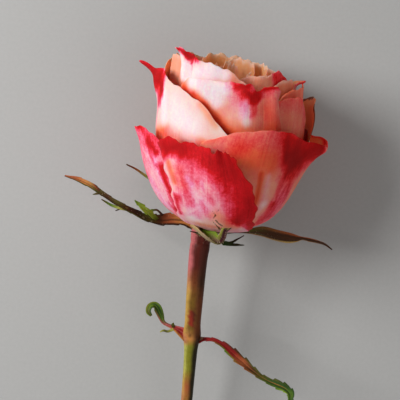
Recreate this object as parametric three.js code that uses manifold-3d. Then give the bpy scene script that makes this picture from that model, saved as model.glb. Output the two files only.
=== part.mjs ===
// A carpe diem rose as a cut flower laid on its back, in millimetres, +Z up.
// Every piece is drawn in the rose's own frame, where +Z runs up the bloom and the viewer is at -Y.
// The function lay then puts it on the table with its front turned up and its stem along -Y.
import * as THREE from "three";
import Module from "manifold-3d";

// Thickness of each living sheet
const OUTER_SHEET = 0.9;
const MIDDLE_SHEET = 0.8;
const INNER_SHEET = 0.7;
const SEPAL_SHEET = 0.7;
const LEAF_SHEET = 0.7;

// How the flower lies
const TILT = 7.2; // degrees the stem drops from the bloom to its cut end
const AXIS_HEIGHT = 23.3; // height of the petals' foot above the table
const CENTRE_X = 7.28; // these two put the middle of the outline over the origin
const CENTRE_Y = 42.62;

// Where the petals' feet meet, beside the middle of the bloom
const FOOT = -5.2;
const FOOT_REACH = 15; // radius at which that shift has faded out

// Hip and stem, 0.3 mm clear of each other and of the bloom
const HIP = [[3.2, -0.35], [3.8, -1.2], [3.8, -2.6], [3.4, -4.4], [3.1, -6.0]]; // radius and height
const HIP_X = -5.6;
const STEM_PATH = [[-5.7, 0, -6.4], [-5.9, 0, -12], [-5.5, 0, -30], [-4.9, 0, -50], [-4.2, 0.8, -90], [-3.4, 3.66, -142]];
const STEM_RADII = [2.9, 2.7, 2.5, 1.95, 1.75, 1.9];
const JOINTS = [[-36.5, 0.45], [-98, 0.3]]; // height and swelling of each leaf joint

// Radius and height along a petal from its foot to its rim
const OUTER = [[2.5, 0.2], [12, 2.6], [20.5, 9.0], [25.3, 20], [26.8, 34]];
const MIDDLE = [[2.5, 0.5], [10, 4], [17.5, 12], [22.2, 26], [22.8, 40], [21.5, 53]];

// Radius, height and sideways shift of what holds the petals' roots, filled to the heart
const RECEPTACLE = [[3, 0, FOOT], [7.5, 0.7, -2.4], [12, 2.1, -0.4], [16.4, 5.1, -0.5],
  [19.7, 8.8, -0.7], [17.5, 12, 0], [13, 28, 0], [9, 40, 0]];

const HEART = 11; // petals that spiral into the middle
const GOLDEN = 137.5; // degrees from one of them to the next

const COLOURS = { bloom: 0xd9466b, calyx: 0x56541f, stem: 0x8c5a3c, leaf_left: 0x4f7a2a, leaf_right: 0x4d6b26 };

const radians = (degrees) => (degrees * Math.PI) / 180;
const clamp = (x, low, high) => Math.min(Math.max(x, low), high);
const smooth = (x) => x * x * (3 - 2 * x);
const vec = (x, y, z) => new THREE.Vector3(x, y, z);

// A profile widened by k and stretched by kz, with its rim moved out by rim and up by top.
function scaled(profile, k, kz, rim = 0, top = 0) {
  const last = profile.length - 1;
  return profile.map(([r, z], i) => {
    const w = Math.max(0, (i / last - 0.5) * 2) ** 1.5;
    return [r * k + rim * w, z * kz + top * w];
  });
}

// Half widths of a plain petal from its foot to its rim.
const side = (w) => [0.28, 0.66, 0.93, 1.0, 0.86].map((k) => w * k);

// A smooth line through a list of values, as a function of 0 to 1 along the list.
function ease(values) {
  const curve = new THREE.SplineCurve(values.map((y, i) => new THREE.Vector2(i, y)));
  const points = curve.getSpacedPoints(200);
  const last = values.length - 1;
  return (t) => {
    const x = clamp(t, 0, 1) * last;
    let i = 1;
    while (i < 200 && points[i].x < x) i += 1;
    const [a, b] = [points[i - 1], points[i]];
    return THREE.MathUtils.lerp(a.y, b.y, (x - a.x) / Math.max(b.x - a.x, 1e-9));
  };
}

const petal = (name, turn, profile, left, right, rim, more = {}) => ({
  name,
  turn: radians(turn),
  profile,
  left: typeof left === "number" ? side(left) : left,
  right: typeof right === "number" ? side(right) : right,
  rim,
  tuck: 0.8,
  rolls: [],
  wave: [0.6, 2.0, 0.0],
  pleats: [],
  ...more,
});

const OUTER_PETALS = [
  petal("front", -12, scaled(OUTER, 1.07, 1, 0.5), [6, 11, 12, 14.5, 18.5], [6, 13, 15, 11, 5],
    [0.93, 0.94, 0.93, 0.92, 0.915, 0.91, 0.9, 0.87, 0.84],
    { tuck: 0.6, rolls: [[90, 18, 9]], wave: [0.6, 2.2, 0.5] }),
  petal("left", -76, scaled(OUTER, 1, 1, 2.0, 2), 24, 24, [0.62, 0.78, 0.92, 0.92, 0.92, 0.9, 0.7],
    { tuck: -1, rolls: [[90, 17, 5]], wave: [0.8, 1.6, 1.5] }),
  petal("right", 36, scaled(OUTER, 0.95, 1, 1.6, 2), [6, 16, 24, 27, 25], [6, 15, 18.5, 17.5, 15],
    [0.88, 0.95, 1, 1.01, 0.985, 0.975, 1],
    { tuck: -0.2, rolls: [[50, 17, 7]], wave: [0.8, 1.6, 2.5] }),
  petal("back right", 116, scaled(OUTER, 0.91, 1, 0.6, 1), 24, 24, [0.7, 0.93, 1, 0.93, 0.7],
    { tuck: 1.2, rolls: [[90, 15, 7]], wave: [0.8, 1.8, 0.5] }),
  petal("back", 184, scaled(OUTER, 1, 1, 0.4, 1), 24, 24, [0.7, 0.93, 1, 0.93, 0.7],
    { tuck: 1.2, rolls: [[90, 17, 7]], wave: [0.8, 1.8, 2.5] }),
];

const MIDDLE_PETALS = [
  petal("left", -66, scaled(MIDDLE, 1.03, 1), [7, 16, 22, 24, 22], [7, 17, 25, 28, 27],
    [0.75, 0.86, 1, 0.925, 0.92, 0.9, 0.87, 0.82, 0.72],
    { tuck: 1, rolls: [[135, 17, 8]], wave: [0.5, 1.8, 0.5], pleats: [[-0.28, 0.1, 0.12, -1.2, 0.55]] }),
  petal("front", 4, scaled(MIDDLE, 0.95, 1), [6, 14, 21, 24, 22], [6, 14, 16, 14, 11],
    [0.84, 0.905, 0.92, 0.925, 0.93, 0.925, 0.925, 0.88, 0.91, 0.93, 0.91],
    { tuck: 0, rolls: [[80, 20, 4]], wave: [0.6, 2.6, 0.5], pleats: [[0.42, -0.1, 0.12, 1.3, 0.5]] }),
  petal("right", 50, scaled(MIDDLE, 1.04, 0.97, 0.5), [5, 12, 17, 18, 16], [4, 8, 9, 9, 11],
    [0.7, 0.82, 0.87, 0.89, 0.9, 0.89, 0.82],
    { rolls: [[60, 24, 5]], wave: [0.5, 1.8, 0.5] }),
  petal("far right", 66, scaled(MIDDLE, 0.93, 1, 0.5), [5, 12, 14, 14, 12], [4, 8, 9, 9, 11],
    [0.8, 0.86, 0.89, 0.9, 0.91, 0.92, 0.9],
    { rolls: [[60, 24, 5]], wave: [0.5, 1.8, 0.5] }),
  petal("back right", 112, scaled(MIDDLE, 1.14, 0.9, 3), 22, 22, [0.68, 0.84, 0.9, 0.9, 0.86, 0.76, 0.6],
    { rolls: [[90, 18, 6]], wave: [0.8, 1.8, 0.5] }),
  petal("back", 190, scaled(MIDDLE, 1, 0.98, 1), 24, 24, [0.7, 0.85, 0.92, 0.93, 0.92, 0.85, 0.7],
    { rolls: [[90, 22, 6]], wave: [0.8, 1.8, 1.5] }),
  petal("back left", 244, scaled(MIDDLE, 0.92, 1.03), 22, 22, [0.7, 0.88, 0.95, 0.97, 0.95, 0.85, 0.7],
    { rolls: [[90, 27, 6]], wave: [0.8, 1.8, 3.5] }),
];

const INNER_PETALS = [
  petal("left", -44, scaled(MIDDLE, 0.8, 1.08, 0.5), [5, 10, 14, 14, 12], [5, 12, 18, 20, 18],
    [0.88, 0.99, 0.975, 0.94, 0.925, 0.9, 0.84],
    { tuck: 0.6, rolls: [[118, 22, 5]], wave: [0.5, 2, 0.5], pleats: [[-0.55, 0.2, 0.12, 0.9, 0.6], [0.1, 0.1, 0.1, 0.7, 0.7]] }),
  petal("right", 30, scaled(MIDDLE, 0.68, 1, 0.5), 12, 12, [0.86, 0.93, 0.95, 0.955, 0.97, 0.98, 0.92],
    { tuck: 0.6, rolls: [[60, 26, 5]], wave: [0.5, 2, 1.5] }),
  petal("far right", 74, scaled(MIDDLE, 0.76, 1, 0.5), 14, 14, [0.86, 0.92, 0.94, 0.935, 0.93, 0.9, 0.82],
    { tuck: 0.6, rolls: [[90, 26, 5]], wave: [0.5, 2, 2.5] }),
  petal("back right", 112, scaled(MIDDLE, 0.9, 1, 0.5), 15, 15, [0.8, 0.84, 0.86, 0.97, 0.86, 0.84, 0.8],
    { tuck: 0.6, rolls: [[90, 26, 5]], wave: [0.5, 2, 1.5] }),
  petal("back", 164, scaled(MIDDLE, 0.84, 1.02, 0.5), 17, 17, [0.85, 0.92, 0.95, 0.96, 0.95, 0.92, 0.8],
    { tuck: 0.6, rolls: [[90, 25, 5]], wave: [0.5, 2, 1.5] }),
  petal("back left", 236, scaled(MIDDLE, 0.8, 1.04, 0.5), 17, 17, [0.85, 0.92, 0.95, 0.97, 0.94, 0.92, 0.8],
    { tuck: 0.6, rolls: [[90, 25, 5]], wave: [0.5, 2, 2.5] }),
];

for (let i = 0; i < HEART; i += 1) {
  const t = i / (HEART - 1);
  INNER_PETALS.push(
    petal(`heart ${i + 1}`, -8 + GOLDEN * i, scaled(MIDDLE, 0.62 - 0.47 * t, 1.05 - 0.05 * t, 0.3 - 0.6 * t),
      19 * (0.85 - 0.55 * t), 19 * (0.85 - 0.55 * t), [0.85, 0.94, 0.97, 0.99, 0.96, 0.94, 0.82],
      { tuck: 0.4, rolls: [[90, 25.5 - 0.6 * i, 4]], wave: [0.7, 2, 1.7 * i] }),
  );
}

// Sepals and leaves: a path, half widths along it, the way it faces at even steps along it, and how it is cupped.
const blade = (path, widths, faces, more = {}) => ({ path, widths, faces, cup: 0.3, teeth: [0, 0], ...more });

const SEPALS = {
  left: blade(
    [[-5.8, 1.2, -2.1], [-10.2, 5.6, -1.4], [-14.6, 6.6, -0.6], [-19.1, 5.8, -0.6], [-23.5, 3.6, 0.2], [-28.4, 1, 2.6],
      [-32.3, -0.6, 4.6], [-36.8, 0.4, 6.6], [-41.3, 1.9, 8.8], [-46.2, 4.2, 10.1], [-51, 6.3, 10.6]],
    [1.6, 1.9, 1.6, 1.3, 1.1, 0.9, 0.8, 0.8, 0.9, 0.8, 0.4], [[0, -0.5, 0.85], [0, -0.8, 0.6]]),
  leftUpperLobe: blade(
    [[-20.4, 5.2, -0.4], [-21.6, 3.6, 1.2], [-23.2, 1.4, 2.8], [-25.5, 0, 4.7], [-27.6, -0.6, 6.5]],
    [0.6, 0.7, 0.9, 0.8, 0.4], [[0, -0.9, 0.4], [0, -0.9, 0.4]]),
  leftLowerLobe: blade(
    [[-29.4, 0.4, 3.1], [-31.8, -0.8, 3.5], [-34.8, -0.4, 4.1], [-38.1, 0.2, 5.5]],
    [0.6, 0.5, 0.5, 0.4], [[0, -0.9, 0.4], [0, -0.9, 0.4]]),
  backLeft: blade(
    [[-5.6, 1.5, -2], [-9, 9, -1.4], [-15, 15.8, 2.8], [-21, 19.4, 7.8], [-26, 21, 10.2], [-29.4, 20.6, 12.3], [-32.7, 19.3, 13.9]],
    [1.6, 2, 1.9, 1.5, 0.9, 0.6, 0.4], [[0.2, 0.2, 0.95], [0.3, -0.6, 0.7]]),
  backRight: blade(
    [[-5.2, 1.6, -2], [-1, 9, -0.9], [5, 15.6, 2], [10, 19.6, 6.6], [13, 21.8, 11], [14.6, 22.9, 15]],
    [1.6, 2, 1.9, 1.5, 0.9, 0.4], [[0, 0.2, 0.95], [0, -0.8, 0.4]]),
  front: blade(
    [[-5.6, -2, -1.5], [-5.2, -5.5, -1.9], [-3.6, -9, -1.7], [-0.8, -11.8, -1.2], [1.8, -13.6, -0.6], [2.9, -15.8, 1.2],
      [3.1, -18, 2.8], [3.8, -19.7, 4.4]],
    [1.6, 1.8, 1.9, 1.7, 1.2, 0.9, 0.7, 0.4], [[0, -0.3, 0.95], [-0.2, -0.6, 0.7], [-0.9, -0.3, -0.1]]),
  frontUpperSpike: blade(
    [[1.2, -13.2, -0.6], [3.2, -13.6, -0.3], [5.2, -13.4, 0.7], [7.4, -13, 1.9]],
    [0.7, 0.6, 0.5, 0.4], [[0, -0.9, 0.4], [0, -0.9, 0.4]]),
  frontLowerSpike: blade(
    [[1.2, -13.2, -0.7], [3.2, -13.4, -0.9], [5.4, -13.2, -1], [8, -13, -0.9]],
    [0.7, 0.8, 0.6, 0.4], [[0, -0.9, 0.4], [0, -0.9, 0.4]]),
  right: blade(
    [[-5.2, 0, -1.4], [3.8, 0, -1.2], [9.5, 0, -0.6], [14, 0, -0.2], [19.1, -0.1, -0.7], [22.6, -0.2, -1],
      [25.5, -0.2, -0.9], [29.7, 0.8, -1], [33.4, 1.6, -2], [36.4, 2.4, -3.5]],
    [1.6, 1.9, 2, 1.9, 1.6, 1.1, 0.7, 0.7, 0.5, 0.4], [[0, 0.1, 1], [0, 0.7, 0.7], [0, 0.95, 0.3], [0, 0.95, 0.3]]),
};

const LEAVES = {
  leaf_left: blade(
    [[-8.7, -0.2, -34.9], [-10.6, -0.1, -34.3], [-13, -0.5, -33.7], [-14.9, -0.8, -32.4], [-16.1, -1.2, -29.9],
      [-17.4, -1.7, -27.6], [-18.8, -2.4, -26.7], [-19.9, -3.1, -27.5], [-19.8, -3.8, -28.9], [-18.9, -4.1, -29.9]],
    [1.2, 1, 0.7, 0.8, 1.2, 1.4, 1.4, 1.2, 0.9, 0.5], [[0.2, -0.9, 0.4], [-0.6, -0.4, 0.7]], { cup: 0.35 }),
  leaf_right: blade(
    [[-2.2, -0.6, -36.9], [-0.6, -0.9, -36.5], [1.2, -1, -36.4], [3.4, -1.1, -36.6], [6.5, -1.9, -37.8], [9.6, -2.7, -39.3],
      [12.4, -3.6, -41.1], [15.4, -4.5, -42.9], [18.5, -5.4, -44.4], [21.8, -6.6, -45.7], [25, -7.4, -47], [27.4, -8.2, -48.5],
      [27.6, -9.2, -50.7]],
    [0.8, 0.7, 0.7, 0.8, 1, 1.4, 1.6, 1.3, 0.9, 1.2, 1.4, 1.2, 0.7], [[0.2, -0.8, 0.6], [0.3, -0.7, 0.6]],
    { teeth: [11, 0.16] }),
};

// The rose's frame turned onto the table: its front up, its bloom along +Y, its stem dropping.
function lay(p) {
  const [c, s] = [Math.cos(radians(TILT)), Math.sin(radians(TILT))];
  return vec(p.x + CENTRE_X, p.z * c + p.y * s + CENTRE_Y, p.z * s - p.y * c + AXIS_HEIGHT);
}

// A petal's middle surface as a function of u across it (-1 to 1) and v up it (0 to 1).
function surface(q) {
  const curve = new THREE.SplineCurve(q.profile.map(([r, z]) => new THREE.Vector2(r, z)));
  const length = curve.getLength();
  const path = curve.getSpacedPoints(200);
  const end = path[200].clone().sub(path[197]).multiplyScalar(200 / 3);
  const wide = Math.max(...q.left, ...q.right);
  const [left, right, edge] = [ease(q.left), ease(q.right), ease(q.rim)];
  const [ct, st] = [Math.cos(q.turn), Math.sin(q.turn)];

  const base = (x, y) => {
    const s = y / length;
    const at = clamp(s, 0, 1) * 200;
    const i = Math.min(Math.floor(at), 199);
    const on = path[i].clone().lerp(path[i + 1], at - i).addScaledVector(end, Math.max(s - 1, 0));
    const r = on.x + (q.tuck * x * smooth(clamp(s / 0.45, 0, 1))) / wide;
    const bend = Math.max(r, 2.5);
    const f = r - bend + bend * Math.cos(x / bend);
    const g = bend * Math.sin(x / bend);
    const p = vec(f * st + g * ct, -f * ct + g * st, on.y);
    p.x += FOOT * (1 - smooth(clamp(Math.hypot(p.x, p.y) / FOOT_REACH, 0, 1)));
    return p;
  };

  return (u, v) => {
    const x = u * (u < 0 ? left(v) : right(v));
    const y = length * v * edge((u + 1) / 2);
    const e = 0.25;
    const p = base(x, y);
    const across = base(x + e, y).sub(base(x - e, y)).normalize();
    const along = base(x, y + e).sub(base(x, y - e)).normalize();
    const out = across.clone().cross(along).normalize();
    for (const [angle, start, radius] of q.rolls) {
      const [ca, sa] = [Math.cos(radians(angle)), Math.sin(radians(angle))];
      const d = Math.max(x * ca + (y - 0.55 * length) * sa - start, 0);
      const turn = Math.min(d / radius, Math.PI * 1.25);
      const slide = radius * Math.sin(turn) - d;
      p.addScaledVector(across, ca * slide).addScaledVector(along, sa * slide);
      p.addScaledVector(out, radius * (1 - Math.cos(turn)));
    }
    const [depth, ripples, phase] = q.wave;
    let lift = depth * v ** 3 * Math.sin(ripples * Math.PI * u + phase);
    lift += 0.25 * depth * v ** 2 * Math.sin(5.3 * u + 4 * v + 2.1 * phase);
    for (const [at, slant, width, height, start] of q.pleats) {
      const rise = clamp((v - start) / (1 - start), 0, 1);
      lift += height * rise * Math.exp(-(((u - at - slant * (1 - v)) / width) ** 2));
    }
    return p.addScaledVector(out, lift);
  };
}

// A sepal's or leaf's middle surface, given like a petal's.
function strip(q) {
  const path = new THREE.CatmullRomCurve3(q.path.map((p) => vec(...p)), false, "catmullrom", 0.5);
  const thick = ease(q.widths);
  const facing = (t) => {
    const at = clamp(t, 0, 1) * (q.faces.length - 1);
    const i = Math.min(Math.floor(at), q.faces.length - 2);
    return vec(...q.faces[i]).lerp(vec(...q.faces[i + 1]), at - i);
  };
  const [teeth, depth] = q.teeth;
  return (u, v) => {
    const ahead = path.getTangent(v);
    const across = ahead.clone().cross(facing(v)).normalize();
    const out = across.clone().cross(ahead).normalize();
    const cut = teeth ? depth * (1 - 2 * ((teeth * v + (u < 0 ? 0.5 : 0)) % 1)) : 0;
    const w = thick(v) * (1 + cut);
    return path.getPoint(v).addScaledVector(across, u * w).addScaledVector(out, q.cup * w * u * u);
  };
}

const wasm = await Module();
wasm.setup();
const { Manifold, Mesh } = wasm;

// A closed sheet of the given thickness over a grid of points, cut into triangles alike on both faces.
// It starts at the share of its length given by from, where that end is sunk in what it grows from.
function sheet(point, across, up, thickness, from = 0) {
  const floor = thickness / 2;
  const grid = [];
  for (let j = 0; j <= up; j += 1) {
    const row = [];
    for (let i = 0; i <= across; i += 1) {
      const p = lay(point((2 * i) / across - 1, from + ((1 - from) * j) / up));
      p.z = Math.max(p.z, floor);
      row.push(p);
    }
    grid.push(row);
  }
  const at = (i, j) => grid[clamp(j, 0, up)][clamp(i, 0, across)];
  const front = [];
  const back = [];
  for (let j = 0; j <= up; j += 1)
    for (let i = 0; i <= across; i += 1) {
      const sideways = at(i + 1, j).clone().sub(at(i - 1, j));
      const upward = at(i, j + 1).clone().sub(at(i, j - 1));
      const out = sideways.cross(upward).normalize().multiplyScalar(floor);
      front.push(at(i, j).clone().add(out));
      back.push(at(i, j).clone().sub(out));
    }
  for (const p of [...front, ...back]) p.z = Math.max(p.z, 0);
  const n = front.length;
  const id = (i, j) => j * (across + 1) + i;
  const faces = [];
  const quad = (a, b, c, d) => faces.push(a, b, c, a, c, d);
  for (let j = 0; j < up; j += 1)
    for (let i = 0; i < across; i += 1) {
      const [a, b, c, d] = [id(i, j), id(i + 1, j), id(i + 1, j + 1), id(i, j + 1)];
      quad(a, b, c, d);
      faces.push(n + a, n + c, n + b, n + a, n + d, n + c);
    }
  const rim = [];
  for (let i = 0; i < across; i += 1) rim.push(id(i, 0));
  for (let j = 0; j < up; j += 1) rim.push(id(across, j));
  for (let i = across; i > 0; i -= 1) rim.push(id(i, up));
  for (let j = up; j > 0; j -= 1) rim.push(id(0, j));
  rim.forEach((a, k) => {
    const b = rim[(k + 1) % rim.length];
    quad(a, n + a, n + b, b);
  });
  return solid([...front, ...back], faces);
}

function solid(points, faces) {
  const positions = new Float32Array(points.flatMap((p) => [p.x, p.y, p.z]));
  return new Manifold(new Mesh({ numProp: 3, vertProperties: positions, triVerts: new Uint32Array(faces) }));
}

// A closed body over rings of points, each ring with the same number of sides.
function tube(made, rings, sides) {
  const faces = [];
  for (let j = 0; j < rings - 1; j += 1)
    for (let k = 0; k < sides; k += 1) {
      const l = (k + 1) % sides;
      const [a, b, c, d] = [j * sides + k, j * sides + l, (j + 1) * sides + l, (j + 1) * sides + k];
      faces.push(a, b, c, a, c, d);
    }
  const middle = (from) => made.slice(from, from + sides).reduce((a, p) => a.add(p), vec(0, 0, 0)).divideScalar(sides);
  const top = (rings - 1) * sides;
  const [first, last] = [made.length, made.length + 1];
  const ends = [middle(0), middle(top)];
  for (let k = 0; k < sides; k += 1) {
    const l = (k + 1) % sides;
    faces.push(first, l, k, last, top + k, top + l);
  }
  return solid([...made, ...ends], faces);
}

// A round limb along a path, with a radius for each of its points and a swelling at each joint.
function limb(points, radii, rings, sides, joints) {
  const path = new THREE.CatmullRomCurve3(points.map((p) => vec(...p)), false, "catmullrom", 0.5);
  const thick = ease(radii);
  const made = [];
  for (let j = 0; j <= rings; j += 1) {
    const centre = path.getPoint(j / rings);
    const ahead = path.getTangent(j / rings);
    const a = vec(0, 1, 0).cross(ahead).normalize();
    const b = ahead.clone().cross(a).normalize();
    let r = thick(j / rings);
    for (const [height, swell] of joints) r += swell * Math.exp(-(((centre.z - height) / 2.6) ** 2));
    for (let k = 0; k < sides; k += 1) {
      const angle = (2 * Math.PI * k) / sides;
      made.push(lay(centre.clone().addScaledVector(a, r * Math.cos(angle)).addScaledVector(b, r * Math.sin(angle))));
    }
  }
  return tube(made, rings + 1, sides);
}

// A turned body standing on the rose's axis, each ring moved sideways by its third number.
function turned(profile, sides) {
  const ring = (r, z, shift, k) => {
    const angle = (2 * Math.PI * k) / sides;
    return lay(vec(shift + r * Math.cos(angle), r * Math.sin(angle), z));
  };
  const made = profile.flatMap(([r, z, shift]) => Array.from({ length: sides }, (_, k) => ring(r, z, shift, k)));
  return tube(made, profile.length, sides);
}

// The largest closed body of a union, without the pockets that it shuts in.
function whole(pieces) {
  const bodies = Manifold.union(pieces).decompose();
  return bodies.reduce((a, b) => (b.volume() > a.volume() ? b : a)).simplify(0.03);
}

// The bloom: every petal's root sunk in the receptacle and the dense heart above it.
const core = turned(RECEPTACLE, 24);
const bloom = whole([
  core,
  ...OUTER_PETALS.map((q) => sheet(surface(q), 9, 7, OUTER_SHEET, 0.3)),
  ...MIDDLE_PETALS.map((q) => sheet(surface(q), 8, 6, MIDDLE_SHEET, 0.25)),
  ...INNER_PETALS.map((q) => sheet(surface(q), 6, 4, INNER_SHEET, q.name.startsWith("heart") ? 0.5 : 0.3)),
]);

// The calyx: the hip with its five sepals and their side lobes.
const calyx = whole([
  turned(HIP.map(([r, z]) => [r, z, HIP_X]).reverse(), 20),
  ...Object.values(SEPALS).map((q) => sheet(strip(q), 2, q.path.length + 1, SEPAL_SHEET)),
]);

const stem = limb([...STEM_PATH].reverse(), [...STEM_RADII].reverse(), 26, 12, JOINTS);
const leaves = Object.entries(LEAVES).map(([name, q]) => [name, sheet(strip(q), 2, 22, LEAF_SHEET)]);

function mesh(name, made) {
  const { vertProperties, triVerts, numProp } = made.getMesh();
  const points = new Float32Array((vertProperties.length / numProp) * 3);
  for (let i = 0; i < points.length / 3; i += 1)
    points.set(vertProperties.subarray(i * numProp, i * numProp + 3), i * 3);
  const geometry = new THREE.BufferGeometry();
  geometry.setAttribute("position", new THREE.BufferAttribute(points, 3));
  geometry.setIndex(new THREE.BufferAttribute(triVerts, 1));
  geometry.computeVertexNormals();
  const body = new THREE.Mesh(geometry, new THREE.MeshStandardMaterial({ color: COLOURS[name], roughness: 0.6 }));
  body.name = name;
  return body;
}

const rose = new THREE.Group();
rose.name = "carpe_diem_rose";
for (const [name, made] of [["bloom", bloom], ["calyx", calyx], ["stem", stem], ...leaves]) rose.add(mesh(name, made));
export default rose;
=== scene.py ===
# %% [markdown]
# # A carpe diem rose, cut and laid down
#
# This lesson dresses a plain solid model of a cut rose. The solids fix its size and how it lies. What is
# made here is its look: thin petals with crimson rims over cream and peach, sepals with fine hairs, a
# red and green stem and two curled leaves. Everything is measured in millimetres in the rose's own frame,
# where +Z runs up the bloom and the viewer is at -Y, and is laid on the table by one matrix.

# %% Load the fixed frame
import math

import bpy
import numpy as np
from mathutils import Matrix, Vector


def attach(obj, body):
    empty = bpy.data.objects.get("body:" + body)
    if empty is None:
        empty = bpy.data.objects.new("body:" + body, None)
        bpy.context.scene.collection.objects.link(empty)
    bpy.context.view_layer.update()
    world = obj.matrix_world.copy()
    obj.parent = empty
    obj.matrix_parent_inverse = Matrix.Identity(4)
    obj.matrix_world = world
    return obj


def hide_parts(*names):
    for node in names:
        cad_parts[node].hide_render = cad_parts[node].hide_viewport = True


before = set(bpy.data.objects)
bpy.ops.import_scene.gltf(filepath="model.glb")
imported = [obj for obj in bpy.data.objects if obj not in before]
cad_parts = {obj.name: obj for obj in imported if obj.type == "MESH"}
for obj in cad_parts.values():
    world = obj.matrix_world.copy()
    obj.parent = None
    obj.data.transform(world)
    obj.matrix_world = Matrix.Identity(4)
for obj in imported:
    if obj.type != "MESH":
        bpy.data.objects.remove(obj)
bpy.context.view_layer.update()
print("nodes:", sorted(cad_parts))

# %% [markdown]
# ## From the rose's frame to the table
#
# A cut rose can't stand, so it lies on its back petals and its cut end. The stem then drops by a few degrees
# from the bloom. One matrix turns the upright rose onto the table, and its numbers are the solids' own.

# %% Lay the rose down
MM = 0.001
TILT = 7.2  # degrees the stem drops from the bloom to its cut end
AXIS_HEIGHT = 23.3  # height of the petals' foot above the table
CENTRE_X = 7.28  # these two put the middle of the outline over the origin
CENTRE_Y = 42.62

LAID = Matrix.Translation((CENTRE_X * MM, CENTRE_Y * MM, AXIS_HEIGHT * MM))
LAID = LAID @ Matrix.Rotation(math.radians(TILT - 90), 4, "X")


def lay(points):
    """Points of the rose's frame in mm, as points on the table in metres."""
    turn = np.array(LAID.to_3x3())
    return np.asarray(points, float) * MM @ turn.T + np.array(LAID.translation)


print("the petals' foot on the table, in metres:", lay([(0, 0, 0)])[0].round(4))

# %% [markdown]
# ## Smooth lines through a few points
#
# A petal has no straight edge. Its profile, its width and its rim are each given by a handful of numbers,
# and a Catmull-Rom spline runs a smooth line through them. Few numbers keep the shapes easy to change.

# %% Splines
STEPS = 200  # places along a spline
NUDGE = 1e-4  # how far ahead and behind a direction is measured, as a share of the curve


def blend_points(p0, p1, p2, p3, w):
    """Catmull-Rom between p1 and p2."""
    v0, v1 = (p2 - p0) / 2, (p3 - p1) / 2
    cubic = (2 * p1 - 2 * p2 + v0 + v1) * w**3
    return cubic + (-3 * p1 + 3 * p2 - 2 * v0 - v1) * w**2 + v0 * w + p1


def spline(points):
    """A smooth path through points, spaced evenly along its length, and that length."""
    p = np.array(points, float)
    ends = np.vstack([p[:1], p, p[-1:]])
    t = np.linspace(0, len(p) - 1, STEPS + 1)
    i = np.minimum(t.astype(int), len(p) - 2)
    q = blend_points(ends[i], ends[i + 1], ends[i + 2], ends[i + 3], (t - i)[:, None])
    run = np.concatenate([[0], np.cumsum(np.linalg.norm(np.diff(q, axis=0), axis=1))])
    even = np.linspace(0, run[-1], STEPS + 1)
    return np.stack([np.interp(even, run, q[:, k]) for k in range(q.shape[1])], 1), run[-1]


def ease(values, t):
    """A smooth line through values, read at t from 0 to 1 along the list."""
    line = spline([(i, y) for i, y in enumerate(values)])[0]
    return np.interp(np.clip(t, 0, 1) * (len(values) - 1), line[:, 0], line[:, 1])


def rail(points, t):
    """Places and directions along a smooth space curve through points, at t from 0 to 1."""
    p = np.array(points, float)
    ends = np.vstack([2 * p[0] - p[1], p, 2 * p[-1] - p[-2]])

    def at(t):
        s = np.clip(t, 0, 1) * (len(p) - 1)
        i = np.minimum(s.astype(int), len(p) - 2)
        return blend_points(ends[i], ends[i + 1], ends[i + 2], ends[i + 3], (s - i)[:, None])

    t = np.asarray(t, float)
    ahead = at(np.minimum(t + NUDGE, 1)) - at(np.maximum(t - NUDGE, 0))
    return at(t), ahead / np.linalg.norm(ahead, axis=1, keepdims=True)


def smooth(x, low=0.0, high=1.0):
    """0 below low, 1 above high, and an S-shaped rise between."""
    t = np.clip((x - low) / (high - low), 0, 1)
    return t * t * (3 - 2 * t)


# %% [markdown]
# ## Closed sheets from a grid
#
# A petal is a thin living sheet. Solidify could thicken a plane, but the two faces of a rose petal differ
# in colour, so the sheet is closed here by hand: every vertex knows which face it is on. The rim is drawn
# thinner than the middle, as on the flower. What reaches the table is pressed flat on it.

# %% A sheet with two faces
def unit(v):
    """Vectors of length 1 in the same directions."""
    return v / np.maximum(np.linalg.norm(v, axis=-1, keepdims=True), 1e-12)


def press(points, low):
    """The same points with none lower than low, in metres above the table."""
    points[..., 2] = np.maximum(points[..., 2], low)
    return points


def closed_sheet(middle, thick, pressed=True):
    """Vertices and faces of a closed sheet round a grid of mid-surface points, with its thickness at each."""
    rows, columns = middle.shape[:2]
    half = thick[..., None] / 2
    if pressed:
        middle = press(middle.copy(), thick * 0.5)
    wide = np.pad(middle, ((1, 1), (1, 1), (0, 0)), mode="edge")
    sideways = wide[1:-1, 2:] - wide[1:-1, :-2]
    upward = wide[2:, 1:-1] - wide[:-2, 1:-1]
    out = unit(np.cross(sideways, upward))
    front, back = middle + out * half, middle - out * half
    points = np.concatenate([front.reshape(-1, 3), back.reshape(-1, 3)])
    if pressed:
        points = press(points, 0.0)
    ids = np.arange(rows * columns).reshape(rows, columns)
    a, b = ids[:-1, :-1].ravel(), ids[:-1, 1:].ravel()
    c, d = ids[1:, 1:].ravel(), ids[1:, :-1].ravel()
    n = rows * columns
    faces = np.concatenate([np.stack([a, b, c, d], 1), np.stack([n + a, n + d, n + c, n + b], 1)])
    rim = np.concatenate([ids[0, :-1], ids[:-1, -1], ids[-1, :0:-1], ids[:0:-1, 0]])
    after = np.roll(rim, -1)
    edge = np.stack([rim, n + rim, n + after, after], 1)
    return points, np.concatenate([faces, edge])


# %% Pieces from points and faces
def placed(name, data):
    """A new object in the scene, at the origin and unturned, that holds data."""
    made = bpy.data.objects.new(name, data)
    bpy.context.scene.collection.objects.link(made)
    return made


def add_field(data, key, values):
    """Gives each vertex a number, or a colour with its alpha, that a skin can read by its name."""
    values = np.asarray(values, np.float32)
    kind, place = ("FLOAT", "value") if values.ndim == 1 else ("FLOAT_COLOR", "color")
    data.attributes.new(key, kind, "POINT").data.foreach_set(place, values.ravel())


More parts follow.
